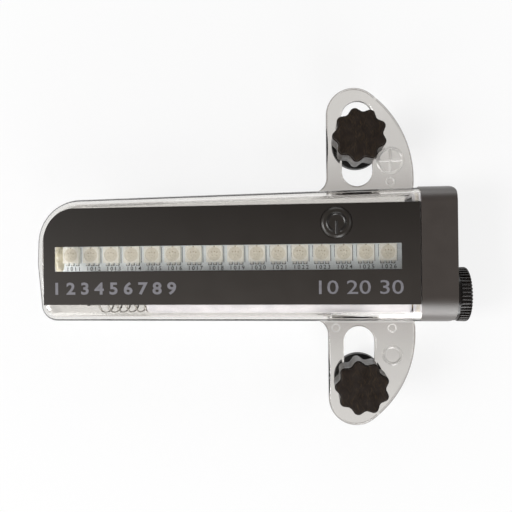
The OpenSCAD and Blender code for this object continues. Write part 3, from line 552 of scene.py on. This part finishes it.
def setFloor():
    mat = bpy.data.materials.new("paleFloor")
    tree = emptyTree(mat)
    path = addNode(tree, "ShaderNodeLightPath").outputs
    seen = path["Is Camera Ray"]
    for ray in ("Is Glossy Ray", "Is Transmission Ray"):
        seen = addNode(tree, "ShaderNodeMath", {0: seen, 1: path[ray]}, operation="MAXIMUM").outputs[0]
    place = addNode(tree, "ShaderNodeTexCoord").outputs["Object"]
    away = addNode(tree, "ShaderNodeVectorMath", {0: place}, operation="LENGTH").outputs["Value"]
    # keeps the shadow near the object, plain white further off
    fade = mapRange(tree, away, *studio["floorFade"], studio["floorGlow"], interpolation_type="SMOOTHSTEP")
    share = addNode(tree, "ShaderNodeMath", {0: seen, 1: fade}, operation="MULTIPLY")
    paper = addNode(tree, "ShaderNodeBsdfDiffuse", {"Color": hexColour(studio["paper"])})
    glow = addNode(tree, "ShaderNodeEmission", {"Color": (1, 1, 1, 1), "Strength": 1.0})
    both = addNode(tree, "ShaderNodeMixShader", {
        0: share.outputs[0], 1: paper.outputs[0], 2: glow.outputs[0]})
    addNode(tree, "ShaderNodeOutputMaterial", {"Surface": both.outputs[0]})
    half, top = studio["floorHalf"], -studio["floorGap"]
    floor = prism("floor", rectangle(-half, half, -half, half), top - studio["floorThick"], top)
    floor.data.materials.append(mat)


def setLight():
    world = bpy.data.worlds.new("studio")
    bpy.context.scene.world = world
    tree = emptyTree(world)
    path = addNode(tree, "ShaderNodeLightPath").outputs
    bright = mapRange(tree, path["Is Camera Ray"], 0, 1, studio["world"])
    sky = addNode(tree, "ShaderNodeBackground", {"Color": (1, 1, 1, 1), "Strength": bright})
    addNode(tree, "ShaderNodeOutputWorld", {"Surface": sky.outputs[0]})
    for name, spot, size, power in studio["lamps"]:
        data = bpy.data.lights.new(name, "AREA")
        data.shape = "RECTANGLE"
        data.size, data.size_y = size
        data.energy = power
        light = newObject(name, data)
        light.location = spot
        light.rotation_euler = (-Vector(spot)).to_track_quat("-Z", "Y").to_euler()
    bpy.context.scene.view_settings.view_transform = "Standard"


setFloor()
setLight()
print("studio ready")

# clear housing; lean is the slope of the upper side in degrees, arcs are (x, y, radius) of the closed end
shell = dict(
    left=-64.6, seam=50.2, thick=18, low=19, highLeft=17.9, highSeam=19.6, lean=0.85,
    arcs=((-51.0, 4.70, 13.4), (-50.6, -1, 14), (-58.4, -14, 5)), turnSteps=72, wall=1.3, edge=4,
    edgeSteps=8, hollowPast=2, wings=((19.212, False), (19.0, True)), railEnd=45.1,
    rails=((-52.85, 13.5, 14.5), (-45.9, -5.3, -4.3)), railLevels=((1.0, 8.3), (9.7, 17.0)),
    bulkhead=(-48.0, -47.0, -14.2, -6.0), bulkheadLevels=(1.05, 16.95), filmRoom=0.1,
    recesses=((17.57, 20), (-2, 0.43)), buttonAt=(26.55, 9.7), boreSides=48,
    bores=((4.8, 10.2, 20), (5.5, 13.1, 16.7)), crease=32, shadedRimFrom=20.2, shadedRimTilt=0.8, slotRim=1.2)


def shellOutline(inset, seamX):
    # from the lower seam corner round the closed end to the upper seam corner
    points = [(seamX, inset - shell["low"])]
    for i in range(shell["turnSteps"] + 1):
        a = math.radians(270 - (180 - shell["lean"]) * i / shell["turnSteps"])
        n = (math.cos(a), math.sin(a))
        x, y, r = max(shell["arcs"], key=lambda c: c[0] * n[0] + c[1] * n[1] + c[2])
        points.append((x + (r - inset) * n[0], y + (r - inset) * n[1]))
    slope = (shell["highSeam"] - shell["highLeft"]) / (shell["seam"] - shell["left"])
    return points + [(seamX, shell["highSeam"] + (seamX - shell["seam"]) * slope - inset)]


def shellForm(name, inset, seamX):
    bm = bmesh.new()
    r = shell["edge"] - inset
    steps = shell["edgeSteps"]
    levels = []
    for i in range(steps + 1):
        a = math.pi / 2 * i / steps
        levels.append((inset + r * (1 - math.sin(a)), inset + r * (1 - math.cos(a))))
    levels += [(d, shell["thick"] - z) for d, z in reversed(levels)]
    rows = [[bm.verts.new((x * mm, y * mm, z * mm)) for x, y in shellOutline(d, seamX)] for d, z in levels]
    skin(bm, rows)
    bm.faces.new(rows[0])
    bm.faces.new(rows[-1])
    bm.faces.new([row[0] for row in rows] + [row[-1] for row in reversed(rows)])
    return fromBmesh(name, bm)


# soft holds (inset, height) of the plate's rounded edge, flare opens the cutter past both faces
wing = dict(
    rear=7.8, front=10.2, tip=(32.1, 42.5), tipR=8.085, side=(16.762, 22.9), sideR=32.988, root=15,
    edgeX=24, fillet=4.5, slotX=33.2, slotNear=25.5, slotFar=42, slotR=4.5,
    soft=[(0.75, 7.8), (0.45, 7.92), (0.18, 8.15), (0.0, 8.5)], flare=1.5, flareHigh=0.6, sideSteps=40,
    tipSteps=36, filletSteps=14, slotSteps=28)


def wingOutline(wallY, inset):
    w = wing
    lean = math.degrees(math.atan2(w["tip"][1] - w["side"][1], w["tip"][0] - w["side"][0]))
    foot = math.degrees(math.asin((w["root"] - w["side"][1]) / w["sideR"]))
    innerX = w["edgeX"] - w["fillet"]
    points = arcPoints(w["side"], w["sideR"] - inset, foot, lean, w["sideSteps"])
    points += arcPoints(w["tip"], w["tipR"] - inset, lean, 180, w["tipSteps"])[1:]
    points += arcPoints((innerX, wallY + w["fillet"]), w["fillet"] + inset, 0, -90, w["filletSteps"])
    return points + [(innerX, w["root"])]


def slotOutline(grow):
    r, steps = wing["slotR"] + grow, wing["slotSteps"]
    return (arcPoints((wing["slotX"], wing["slotFar"]), r, 0, 180, steps)
            + arcPoints((wing["slotX"], wing["slotNear"]), r, 180, 360, steps))


def makeWing(wallY, mirrored):
    flip = -1 if mirrored else 1
    rear, front = wing["rear"], wing["front"]
    steps = wing["soft"] + [(d, front + rear - z) for d, z in reversed(wing["soft"])]
    plate = loft("wingPlate", [[(x, y * flip, z) for x, y in wingOutline(wallY, d)] for d, z in steps])
    wide, past = wing["flare"], wing["flareHigh"]
    flared = [(wide, rear - past)] + steps + [(wide, front + past)]
    hole = loft("slotHole", [[(x, y * flip, z) for x, y in slotOutline(d)] for d, z in flared])
    return combine(plate, hole, "DIFFERENCE")


ridgeFoot = dict(root=-0.25, foot=-0.02)  # how far a raised line reaches into what carries it


def ridge(name, path, line, base, closed=False):
    # a raised line with sloping flanks along a flat path; line is (half width, half top, height)
    wide, top, high = line
    root, foot = ridgeFoot["root"], ridgeFoot["foot"]
    profile = ((-wide, root), (-wide, foot), (-top, high), (top, high), (wide, foot), (wide, root))
    last = len(path) - 1
    rows = []
    for i, (x, y) in enumerate(path):
        ahead = path[(i + 1) % len(path)] if closed else path[min(i + 1, last)]
        behind = path[i - 1] if closed else path[max(i - 1, 0)]
        run = Vector((ahead[0] - behind[0], ahead[1] - behind[1])).normalized()
        rows.append([(x - run.y * o, y + run.x * o, base + h) for o, h in profile])
    return loft(name, rows, closed)


# rings are (x, y, radius, strength): the small bosses are fainter
mark = dict(
    high=0.24, wide=0.5, top=0.1, inset=0.35, sides=60, plus=(42.9, 28.3, 3.6), plusDrop=0.02, crease=28,
    rings=((42.9, 28.3, 4, 1), (42.9, -29.5, 2.85, 1), (42.9, 22.0, 1.5, 0.45), (26.4, -21.4, 1.5, 0.3),
        (42.9, -21.4, 1.5, 0.2)))


def makeMarks():
    base = wing["front"]
    lines = []
    for x, y, r, share in mark["rings"]:
        path = circle((x, y), r - mark["inset"], mark["sides"])
        line = (mark["wide"] * share ** 0.5, mark["top"], mark["high"] * share)
        lines.append(ridge("mark", path, line, base, closed=True))
    x, y, half = mark["plus"]
    line = (mark["wide"], mark["top"], mark["high"] - mark["plusDrop"])
    for path in ([(x - half, y), (x + half, y)], [(x, y - half), (x, y + half)]):
        lines.append(ridge("mark", path, line, base))
    marks = lines[0]
    for other in lines[1:]:
        combine(marks, other, "UNION")
    marks.name = "wingMarks"
    soften(marks, 0, mark["crease"])
    marks.visible_shadow = False
    finishPiece(marks, frostPlastic, "body", "clear_plastic")


film = dict(
    x=(-61.3, 50.3), y=(-13.85, 15.2), corner=9.8, steps=16, edge=0.06, crease=35, trim=0.02,
    levels=(-1, 20), seamFrom=49.5, seamReach=0.33)


def filmOutline(grow):
    x0, y0, y1 = film["x"][0] - grow, film["y"][0] - grow, film["y"][1] + grow
    x1, r = film["x"][1], film["corner"] + grow
    return [(x0, y0), (x1, y0), (x1, y1)] + arcPoints((x0 + r, y1 - r), r, 90, 180, film["steps"])


def makeShell():
    body = shellForm("clearShell", 0, shell["seam"])
    for wallY, mirrored in shell["wings"]:
        combine(body, makeWing(wallY, mirrored), "UNION")
    combine(body, shellForm("hollow", shell["wall"], shell["seam"] + shell["hollowPast"]), "DIFFERENCE")
    # rails for the board and the bulkhead behind the spring
    for x0, y0, y1 in shell["rails"]:
        for low, high in shell["railLevels"]:
            combine(body, prism("rail", rectangle(x0, shell["railEnd"], y0, y1), low, high), "UNION")
    combine(body, prism("bulkhead", rectangle(*shell["bulkhead"]), *shell["bulkheadLevels"]), "UNION")
    # recesses for both films and the bore for the button
    for low, high in shell["recesses"]:
        combine(body, prism("recess", filmOutline(shell["filmRoom"]), low, high), "DIFFERENCE")
    for r, low, high in shell["bores"]:
        outline = circle(shell["buttonAt"], r, shell["boreSides"])
        combine(body, prism("bore", outline, low, high), "DIFFERENCE")
    soften(body, 0, shell["crease"])
    body.visible_shadow = False  # light passes the clear walls, so what is inside is lit plainly
    finishPiece(body, clearPlastic, "body", "clear_plastic", "housing")
    body.data.materials.append(rimPaintedShade)
    # painted shade: the steep faces at the wings' outer edges, away from the slots, take the darker rim
    # finish
    reach = wing["slotR"] + shell["slotRim"]
    for face in body.data.polygons:
        x, y = face.center.x / mm, abs(face.center.y / mm)
        inSlot = abs(x - wing["slotX"]) < reach and wing["slotNear"] - reach < y < wing["slotFar"] + reach
        onShadedRim = y > shell["shadedRimFrom"] and abs(face.normal.z) < shell["shadedRimTilt"]
        face.material_index = 1 if onShadedRim and not inSlot else 0


makeShell()
makeMarks()
print("clear housing made")

# films, their print and the button
for node, name in (("front_label", "frontFilm"), ("back_label", "backFilm")):
    label = dress(node, name, filmDark, "body", "label_film", film["edge"])
    combine(label, prism("corner", filmOutline(film["trim"]), *film["levels"]), "INTERSECT")
    soften(label, 0, film["crease"])
    stretchEnd(label, film["seamFrom"], film["seamReach"])  # only a thin clear line is left at the seam

# face is (radius, height) from rim to middle, the sign's lines are (half width, half top, height)
push = dict(
    at=(26.55, 9.7), cut=17.5, cutHalf=9, cutTop=22, lap=0.2, radius=4.48, top=18.3, sides=72, crease=28,
    face=((4.48, 17.82), (4.42, 17.9), (3.85, 18.22), (3.7, 18.28), (3.5, 18.3), (0, 18.3)), symbolR=2.57,
    gap=20, arcSteps=60, arcLine=(0.46, 0.1, 0.19), bar=(0.4, -3.3), barLine=(0.42, 0.1, 0.17),
    symbolCrease=20, plungerEdge=0.15)


def makeButton():
    # the stem and flange follow the solid, the face is embossed like a moulded key
    p = push
    x, y = p["at"]
    half, base = p["cutHalf"], p["cut"] - p["lap"]
    stem = cadCopy("power_button", "pushButton")
    above = rectangle(x - half, x + half, y - half, y + half)
    combine(stem, prism("above", above, p["cut"], p["cutTop"]), "DIFFERENCE")
    face = [(0, base), (p["radius"], base)] + list(p["face"])
    combine(stem, lathe("face", face, (x, y, 0), (0, 0, 1), p["sides"]), "UNION")
    soften(stem, 0, p["crease"])
    finishPiece(stem, keyRubber, "button", "label_film", "power_button")
    arc = arcPoints(p["at"], p["symbolR"], p["gap"] - 90, 270 - p["gap"], p["arcSteps"])
    bar = [(x, y + end) for end in p["bar"]]
    symbol = joinObjects("buttonSymbol", [ridge("symbol", arc, p["arcLine"], p["top"]),
                                          ridge("symbol", bar, p["barLine"], p["top"])])
    soften(symbol, 0, p["symbolCrease"])
    # the symbol's darker colour is painted shade
    finishPiece(symbol, keyPaintedShade, "button", "label_film")


makeButton()
dress("switch_plunger", "switchPlunger", plungerAcetal, "button", "milky_plastic", push["plungerEdge"])
# lines: numbers, height, left and right end, middle, extra weight
filmPrint = dict(
    z=17.96, deep=0.016, lines=(("1 2 3 4 5 6 7 8 9", 4.9, (-57.6, -20.4), -9.15, 0.13),
        ("10 20 30", 5.6, (21.4, 45.2), -9.1, 0.02)))


def printFilm():
    # plain numbers as on a scale, each row set to its own width
    for index, (words, tall, (x0, x1), y, bold) in enumerate(filmPrint["lines"]):
        mesh = textMesh(words, tall, (0, 0, 0), filmPrint["deep"], bold)
        xs = [v.co.x for v in mesh.vertices]
        wide = (x1 - x0) * mm / (max(xs) - min(xs))
        shift = Matrix.Translation((x0 * mm - min(xs) * wide, y * mm, filmPrint["z"] * mm))
        mesh.transform(shift @ Matrix.Diagonal((wide, 1, 1, 1)))
        finishPiece(newObject("filmNumbers%d" % (index + 1), mesh), filmInk, "body", "label_film")


printFilm()
print("films and button made")

# board; its corner stays clear of the wall
board = dict(edge=0.1, crease=35, inset=1.7, pastX=60, levels=(0, 18), front=9.6, back=8.4)
plate = dress("circuit_board", "lightBoard", boardMask, "body", "board_white", board["edge"])
combine(plate, prism("room", shellOutline(board["inset"], board["pastX"]), *board["levels"]), "INTERSECT")
soften(plate, 0, board["crease"])

# lights: dome is (share of radius, depth below the top), chips are (x, y, size) from the middle
lamp = dict(
    first=-55.65, y=1.15, pitch=6.5, count=16, size=5.0, tall=1.6, edge=0.12, gap=0.03, crease=40,
    cutOver=1, resinR=2.1, sink=0.2, wellSides=48, resinGap=0.02, resinSides=40, resinCrease=50,
    dome=((0, 0.06), (0.5, 0.07), (0.85, 0.1), (1, 0.13), (1, 0.19), (0, 0.19)), notchHalf=0.45,
    notchNear=0.05, notchFar=0.5, notchDeep=0.15, leadPitch=1.6, leadHalf=0.5, leadLap=0.3, leadOut=0.25,
    leadLevels=(0.01, 0.35), leadEdge=0.06, leadSteps=8, chipDepths=(0.2, 0.045), chipSquare=(4, 45),
    chips=((-0.8, 0.6, 0.24), (0.05, 0.7, 0.24), (0.85, 0.5, 0.24), (-0.6, -0.45, 0.16), (0.2, -0.3, 0.16),
        (0.75, -0.55, 0.16), (-0.1, -1.0, 0.16), (0, 2.28, 0.3)))


def leadOutline(middle, edge, side):
    half = lamp["leadHalf"]
    inner = edge - side * lamp["leadLap"]
    end = arcPoints((middle, edge + side * lamp["leadOut"]), half, 0, side * 180, lamp["leadSteps"])
    return [(middle - half, inner), (middle + half, inner)] + end


def lampParts(back):
    # package, resin, leads and chips of the first light of a row
    s, x, y = lamp, lamp["first"], lamp["y"]
    half, top = s["size"] / 2, s["tall"]
    over = top + s["cutOver"]
    package = prism("package", rectangle(x - half, x + half, y - half, y + half), 0, top)
    well = circle((x, y), s["resinR"], s["wellSides"])
    combine(package, prism("well", well, top - s["sink"], over), "DIFFERENCE")
    near = y + half - s["notchNear"]
    notch = [(x - s["notchHalf"], near), (x + s["notchHalf"], near), (x, y + half - s["notchFar"])]
    combine(package, prism("notch", notch, top - s["notchDeep"], over), "DIFFERENCE")
    soften(package, s["edge"], s["crease"])
    r = s["resinR"] - s["resinGap"]
    dome = [(r * share, top - drop) for share, drop in s["dome"]]
    resin = lathe("resin", dome, (x, y, 0), (0, 0, 1), s["resinSides"])
    soften(resin, 0, s["resinCrease"])
    tabs = [leadOutline(x + k * s["leadPitch"], y + side * half, side)
            for side in (-1, 1) for k in (-1, 0, 1)]
    leads = joinObjects("leads", [prism("lead", tab, *s["leadLevels"]) for tab in tabs])
    soften(leads, s["leadEdge"], s["crease"])
    low, high = [top - depth for depth in s["chipDepths"]]
    dots = [prism("chip", circle((x + dx, y + dy), w, *s["chipSquare"]), low, high)
            for dx, dy, w in s["chips"]]
    chips = soften(joinObjects("chips", dots), 0, s["crease"])
    bed = Matrix.Translation((0, 0, (board["front"] + s["gap"]) * mm))
    if back:
        bed = Matrix.Translation((0, 0, (board["back"] - s["gap"]) * mm)) @ Matrix.Diagonal((1, 1, -1, 1))
    for obj in (package, resin, leads, chips):
        obj.data.transform(bed)
        if back:
            obj.data.flip_normals()
    return package, resin, leads, chips


def makeLamps():
    labels = ("Packages", "Resin", "Leads", "Chips")
    finishes = (packageWhite, resinMilky, solderTin, chipUnderResin)
    for back, side, node in ((False, "Front", "front_leds"), (True, "Back", "back_leds")):
        for obj, label, mat in zip(lampParts(back), labels, finishes):
            repeat(obj, lamp["count"], mat, step=(lamp["pitch"], 0, 0))
            obj.name = "lamp" + label + side
            obj.visible_shadow = False  # these pass light, so the board between them stays bright
            finishPiece(obj, None, "body", "led_package", *([node] if label == "Packages" else []))


# strokes are (from the light's middle, from its lower edge, width, height), drawn coarser than life to show
boardPrint = dict(
    firstNumber=1011, tall=1.75, shift=0.3, y=-3.2, above=0.015, deep=0.02, bold=0.02, apart=1.45,
    levels=(9.602, 9.618), strokes=((2.62, -0.1, 0.2, 4.9), (-2.74, 1.2, 0.13, 3.6),
        (-2.21, -0.87, 1.22, 0.89), (-0.61, -0.87, 1.22, 0.89), (0.99, -0.87, 1.22, 0.89)))


def printBoard():
    # a running number below each light, and a printed frame beside and below it
    p = boardPrint
    numbers = []
    for i in range(lamp["count"]):
        at = (lamp["first"] + i * lamp["pitch"] + p["shift"], p["y"], board["front"] + p["above"])
        words = "%d" % (p["firstNumber"] + i)
        numbers.append(textMesh(words, p["tall"], at, p["deep"], p["bold"], p["apart"]))
    finishPiece(joinMeshes("boardNumbers", numbers), boardInk, "body", "board_white")
    x, y = lamp["first"], lamp["y"] - lamp["size"] / 2
    inked = [prism("stroke", rectangle(x + dx, x + dx + w, y + dy, y + dy + h), *p["levels"])
             for dx, dy, w, h in p["strokes"]]
    frames = repeat(joinObjects("boardFrames", inked), lamp["count"], boardInk, step=(lamp["pitch"], 0, 0))
    finishPiece(frames, None, "body", "board_white")


makeLamps()
printBoard()
# small parts on the board: node, piece, finish, slot, edge
for node, name, mat, slot, edge in (
        ("led_driver", "driverChip", chipEpoxy, "chip_black", 0.06),
        ("tact_switch", "tactSwitch", chipEpoxy, "chip_black", 0.12),
        ("motion_sensor", "motionSensor", sensorCan, "nickel_contact", 0.12),
        ("board_resistors", "boardResistors", chipEpoxy, "chip_black", 0.06),
        ("board_capacitors", "boardCapacitors", ceramicTan, "capacitor_ceramic", 0.1)):
    dress(node, name, mat, "body", slot, edge)
print("board and lights made")

# batteries and contacts: node, piece, finish, body, slot, edge
power = dict(sleeveFrom=44.5, sleeveReach=2.95, plateX=1.58, plateY=-0.8, plateWide=0.8)
made = {}
for node, name, mat, body, slot, edge in (
        ("battery_tube", "batterySleeve", sleeveMilky, "body", "milky_plastic", 0.1),
        ("left_cell", "leftCell", cellWrap, "body", "cell_sleeve", 0.3),
        ("right_cell", "rightCell", cellWrap, "body", "cell_sleeve", 0.3),
        ("spring_plate", "springPlate", contactNickel, "body", "nickel_contact", 0.08),
        ("contact_ring", "contactRing", contactNickel, "body", "nickel_contact", 0.05),
        ("cap_contact", "capContact", contactNickel, "cap_carrier", "nickel_contact", 0.08)):
    made[name] = dress(node, name, mat, body, slot, edge)
stretchEnd(made["batterySleeve"], power["sleeveFrom"], power["sleeveReach"])  # up to the end cap's spigot
shiftPiece(made["springPlate"], power["plateX"], power["plateY"], power["plateWide"])  # behind the spring
spring = dict(
    start=-46.4, end=-30.57, y=-11.5, z=9, wide=5.8, narrow=5.4, wire=0.55, turns=5.5, steps=40, sides=12,
    crease=50)


def makeSpring():
    s = spring
    count = int(s["turns"] * s["steps"])
    r = s["wire"] / 2
    a0, a1 = s["start"] + r, s["end"] - r
    path = []
    for i in range(count + 1):
        t = i / count
        a = 2 * math.pi * i / s["steps"]
        turnR = s["wide"] + (s["narrow"] - s["wide"]) * t
        path.append(Vector((a0 + (a1 - a0) * t, s["y"] + turnR * math.cos(a), s["z"] + turnR * math.sin(a))))
    rings = []
    for i, p in enumerate(path):
        ahead = (path[min(i + 1, count)] - path[max(i - 1, 0)]).normalized()
        out = Vector((0, p.y - s["y"], p.z - s["z"])).normalized()
        side = ahead.cross(out).normalized()
        out = side.cross(ahead)
        angles = [2 * math.pi * k / s["sides"] for k in range(s["sides"])]
        rings.append([p + (out * math.cos(a) + side * math.sin(a)) * r for a in angles])
    wire = soften(loft("batterySpring", rings), 0, s["crease"])
    finishPiece(wire, springSteel, "body", "spring_steel", "battery_spring")


makeSpring()
# lumps are (size, rate, start) of the waves along the bead
glue = dict(
    x=(-61.6, -58.3), y=(-3.9, 4.2), base=9.62, high=1.5, waist=0.55, rows=14, columns=8,
    lumps=((0.22, 9.0, 0.7), (0.12, 21, 0)), crease=60)


def makeGlue():
    # a poured bead along the board's end, higher in the middle and lumpy along its length
    g = glue
    (x0, x1), (y0, y1) = g["x"], g["y"]
    bm = bmesh.new()
    rows = []
    for i in range(g["rows"] + 1):
        t = i / g["rows"]
        swell = math.sin(math.pi * t) ** 0.5 if 0 < t < 1 else 0.0
        lump = 1 + sum(size * math.sin(rate * t + start) for size, rate, start in g["lumps"])
        row = []
        for k in range(g["columns"] + 1):
            u = k / g["columns"]
            x = x0 + (x1 - x0) * (0.5 + (u - 0.5) * (g["waist"] + (1 - g["waist"]) * swell))
            z = g["base"] + g["high"] * swell * lump * math.sin(math.pi * u)
            row.append(bm.verts.new((x * mm, (y0 + (y1 - y0) * t) * mm, z * mm)))
        rows.append(row)
    skin(bm, rows)
    under = rows[0] + [row[-1] for row in rows[1:]]
    under += rows[-1][-2::-1] + [row[0] for row in reversed(rows[1:-1])]
    bm.faces.new(under)
    bead = soften(fromBmesh("glueBead", bm), 0, g["crease"])
    finishPiece(bead, glueAmber, "body", "milky_plastic")


makeGlue()
print("batteries, spring and contacts made")

# end cap; clear is the room that the spigot's cutters fill, past how far other cutters overrun
cover = dict(
    x=(50.3, 60.3), y=(-19.4, 20), thick=18, lowR=8, highR=5, sectionSteps=20, corner=2.2, cornerSteps=14,
    skin=0.002, past=1, pocket=(-2.7, 16, 4, 14), floorX=58.3, boreR=6.85, boreY=-11.5, boreZ=9,
    boreSides=72, edge=0.35, edgeSteps=3, crease=40, lap=0.1, spigot=2.2, clearX=(30, 70), clearY=(-30, 30),
    clearZ=(-5, 25), pocketRim=0.1, bareFrom=0.08)


def makeEndCap():
    # the spigot follows the solid; the outer block has a round section, round corners and a crisp edge
    c = cover
    (x0, x1), (y0, y1), t, past = c["x"], c["y"], c["thick"], c["past"]
    low, high = c["lowR"], c["highR"]
    section = []
    for y, z, r, turn in ((y0 + low, low, low, 180), (y1 - high, high, high, 270),
                          (y1 - high, t - high, high, 0), (y0 + low, t - low, low, 90)):
        section += arcPoints((y, z), r, turn, turn + 90, c["sectionSteps"])
    block = loft("endCap", [[(x, y, z) for y, z in section] for x in (x0, x1)])
    r, skin, steps = c["corner"], c["skin"], c["cornerSteps"]
    outline = [(x0 - past, y0 - skin)] + arcPoints((x1 - r, y0 + r - skin), r, 270, 360, steps)
    outline += arcPoints((x1 - r, y1 - r + skin), r, 0, 90, steps) + [(x0 - past, y1 + skin)]
    combine(block, prism("corners", outline, -past, t + past), "INTERSECT")
    low, high, rear, front = c["pocket"]
    combine(block, prism("pocket", rectangle(x0 - past, c["floorX"], low, high), rear, front), "DIFFERENCE")
    centre = (0, c["boreY"], c["boreZ"])
    bore = rod("bore", c["boreR"], x0 - past, x1 + past, centre, (1, 0, 0), c["boreSides"])
    combine(block, bore, "DIFFERENCE")
    soften(block, c["edge"], c["crease"], c["edgeSteps"])
    stub = cadCopy("end_cap", "spigot")
    beyond = rectangle(x0 + c["lap"], c["clearX"][1], *c["clearY"])
    short = rectangle(c["clearX"][0], x0 - c["spigot"], *c["clearY"])
    combine(stub, prism("beyond", beyond, *c["clearZ"]), "DIFFERENCE")
    combine(stub, prism("short", short, *c["clearZ"]), "DIFFERENCE")
    combine(block, stub, "UNION")
    soften(block, 0, c["crease"])
    finishPiece(block, capSatin, "body", "cap_plastic", "end_cap")
    block.data.materials.append(sleeveMilky)  # inside and spigot are unsprayed: the clear bands look pale
    rim = c["pocketRim"]
    for face in block.data.polygons:
        x, y, z = face.center / mm
        inPocket = x < c["floorX"] + rim and low - rim < y < high + rim and rear - rim < z < front + rim
        face.material_index = 1 if x < x0 - c["bareFrom"] or inPocket else 0


makeEndCap()
seals = dict(flatEdge=0.08, flatX=2, ringX=-0.9)
flatSeal = dress("end_cap_seal", "endCapSeal", sealRubber, "body", "black_rubber", seals["flatEdge"])
shiftPiece(flatSeal, seals["flatX"])  # close to the seam
sealRing = dress("cap_seal_ring", "capSealRing", ringRubber, "screw_cap", "red_rubber")
shiftPiece(sealRing, seals["ringX"])  # into its groove, just inside the end cap

# screw cap; mouth, roll, collar, neck and rim are (in from the radius, along from the level),
# ribRows are (x, share of the rib's height)
screwCap = dict(
    y=-11.5, z=9, shankX=51.8, shankR=6.8, cupR=5.8, floorX=59.65, mouth=((0.2, 0), (0, 0.2)), rolls=4,
    rollFirst=0.9, rollPitch=1.5, roll=((0, 0), (0.28, 0.4), (0.28, 0.7), (0, 1.1)), grooveX=59.2,
    grooveEnd=60.1, grooveR=5.95, collarX=60.4, collarR=7.7, collar=((0.12, 0), (0, 0.12)), gripX=61.2,
    neck=((0, -0.1), (0.25, -0.02), (0.25, 0.1)), gripStart=0.18, gripR=7.5, endX=64.6,
    rim=((0, -0.85), (0.12, -0.42), (0.45, -0.14), (0.9, 0)), dishR=(5.2, 5.0), dishDeep=0.25, sides=96,
    crease=32, ribs=46, ribTip=8.0, ribHalf=0.32, ribRoot=0.5, ribSink=0.35, ribShoulder=0.16,
    ribShares=(0.8, 0.35), ribCrease=50, ribRows=((61.4, 0.55), (61.55, 0.9), (63.85, 1.0), (64.3, 0.8),
        (64.54, 0.25)))


def makeScrewCap():
    c = screwCap
    shank, groove, grip, end = c["shankR"], c["grooveR"], c["gripR"], c["endX"]
    profile = [(0, c["floorX"]), (c["cupR"], c["floorX"]), (c["cupR"], c["shankX"])]
    profile += rounded(shank, c["shankX"], c["mouth"])
    for i in range(c["rolls"]):  # shallow thread rolls on the shank
        profile += rounded(shank, c["shankX"] + c["rollFirst"] + i * c["rollPitch"], c["roll"])
    start, stop = c["grooveX"], c["grooveEnd"]
    profile += [(shank, start), (groove, start), (groove, stop), (shank, stop)]
    profile += [(shank, c["collarX"])] + rounded(c["collarR"], c["collarX"], c["collar"])
    profile += rounded(c["collarR"], c["gripX"], c["neck"]) + [(grip, c["gripX"] + c["gripStart"])]
    profile += rounded(grip, end, c["rim"])
    dish = end - c["dishDeep"]
    profile += [(c["dishR"][0], end), (c["dishR"][1], dish), (0, dish)]
    core = soften(lathe("screwCap", profile, (0, c["y"], c["z"]), (1, 0, 0), c["sides"]), 0, c["crease"])
    finishPiece(core, screwCapNylon, "screw_cap", "black_plastic", "battery_cap")
    rows = []
    for x, share in c["ribRows"]:
        foot = grip - c["ribSink"]
        reach = foot + (c["ribTip"] - foot) * share
        wide, slim = [c["ribHalf"] * part for part in c["ribShares"]]
        flank = [(c["ribHalf"], grip - c["ribRoot"]), (wide, reach - c["ribShoulder"]), (slim, reach)]
        row = [(-s, r) for s, r in flank] + flank[::-1]
        rows.append([(x, c["y"] + s, c["z"] + r) for s, r in row])
    ribs = soften(loft("screwCapRibs", rows), 0, c["ribCrease"])
    repeat(ribs, c["ribs"], screwCapNylon, turn=(360 / c["ribs"], 0, 0), centre=(0, c["y"], c["z"]))
    finishPiece(ribs, None, "screw_cap", "black_plastic")


makeScrewCap()
print("end cap and screw cap made")

# clamps
clamp = dict(bushEdge=0.15, knobEdge=0.34, knobCrease=50, knobSteps=4, insertEdge=0.1)
for side in ("upper", "lower"):
    star = side + "_star"
    dress(side + "_bush", side + "Bush", boltNylon, side + "_slider", "black_plastic", clamp["bushEdge"])
    dress(side + "_knob", side + "Knob", knobNylon, star, "black_plastic", clamp["knobEdge"],
          clamp["knobCrease"], clamp["knobSteps"])
    dress(side + "_knob_insert", side + "Insert", insertBrass, star, "insert_brass", clamp["insertEdge"])

# foot, brow and point are (in from the radius, along from the level)
bolt = dict(
    x=33.2, upperY=34.1, lowerY=-37.1, rear=2.7, top=6.3, headR=7.4, shankR=2, tip=17.9,
    foot=((0.75, 0), (0.45, 0.1), (0.15, 0.4), (0, 0.75)), brow=((0, -0.3), (0.08, -0.1), (0.3, 0)),
    point=((0, -0.6), (0.4, 0)), threadZ=9.4, pitch=0.7, threadDeep=0.2, rolls=11, sides=64, grooveY=3.3,
    grooveR=1, grooveHalf=9, grooveSides=32, crease=32)


def makeBolt(side):
    # round head with a spoke groove on each side of the shank; the thread is drawn as rings
    b = bolt
    low, high, shank, y = b["rear"], b["top"], b["shankR"], b[side + "Y"]
    half = b["grooveHalf"]
    profile = [(0, low)] + rounded(b["headR"], low, b["foot"]) + rounded(b["headR"], high, b["brow"])
    profile.append((shank, high))
    for i in range(b["rolls"]):
        z = b["threadZ"] + i * b["pitch"]
        profile += [(shank, z), (shank - b["threadDeep"], z + b["pitch"] / 2)]
    profile += rounded(shank, b["tip"], b["point"]) + [(0, b["tip"])]
    obj = lathe(side + "Bolt", profile, (b["x"], y, 0), (0, 0, 1), b["sides"])
    for out in (-1, 1):
        centre = (b["x"], y + out * b["grooveY"], high)
        groove = rod("groove", b["grooveR"], -half, half, centre, (1, 0, 0), b["grooveSides"])
        combine(obj, groove, "DIFFERENCE")
    soften(obj, 0, b["crease"])
    finishPiece(obj, boltNylon, side + "_bolt", "black_plastic", side + "_clamp_bolt")


makeBolt("upper")
makeBolt("lower")
print("clamps made")
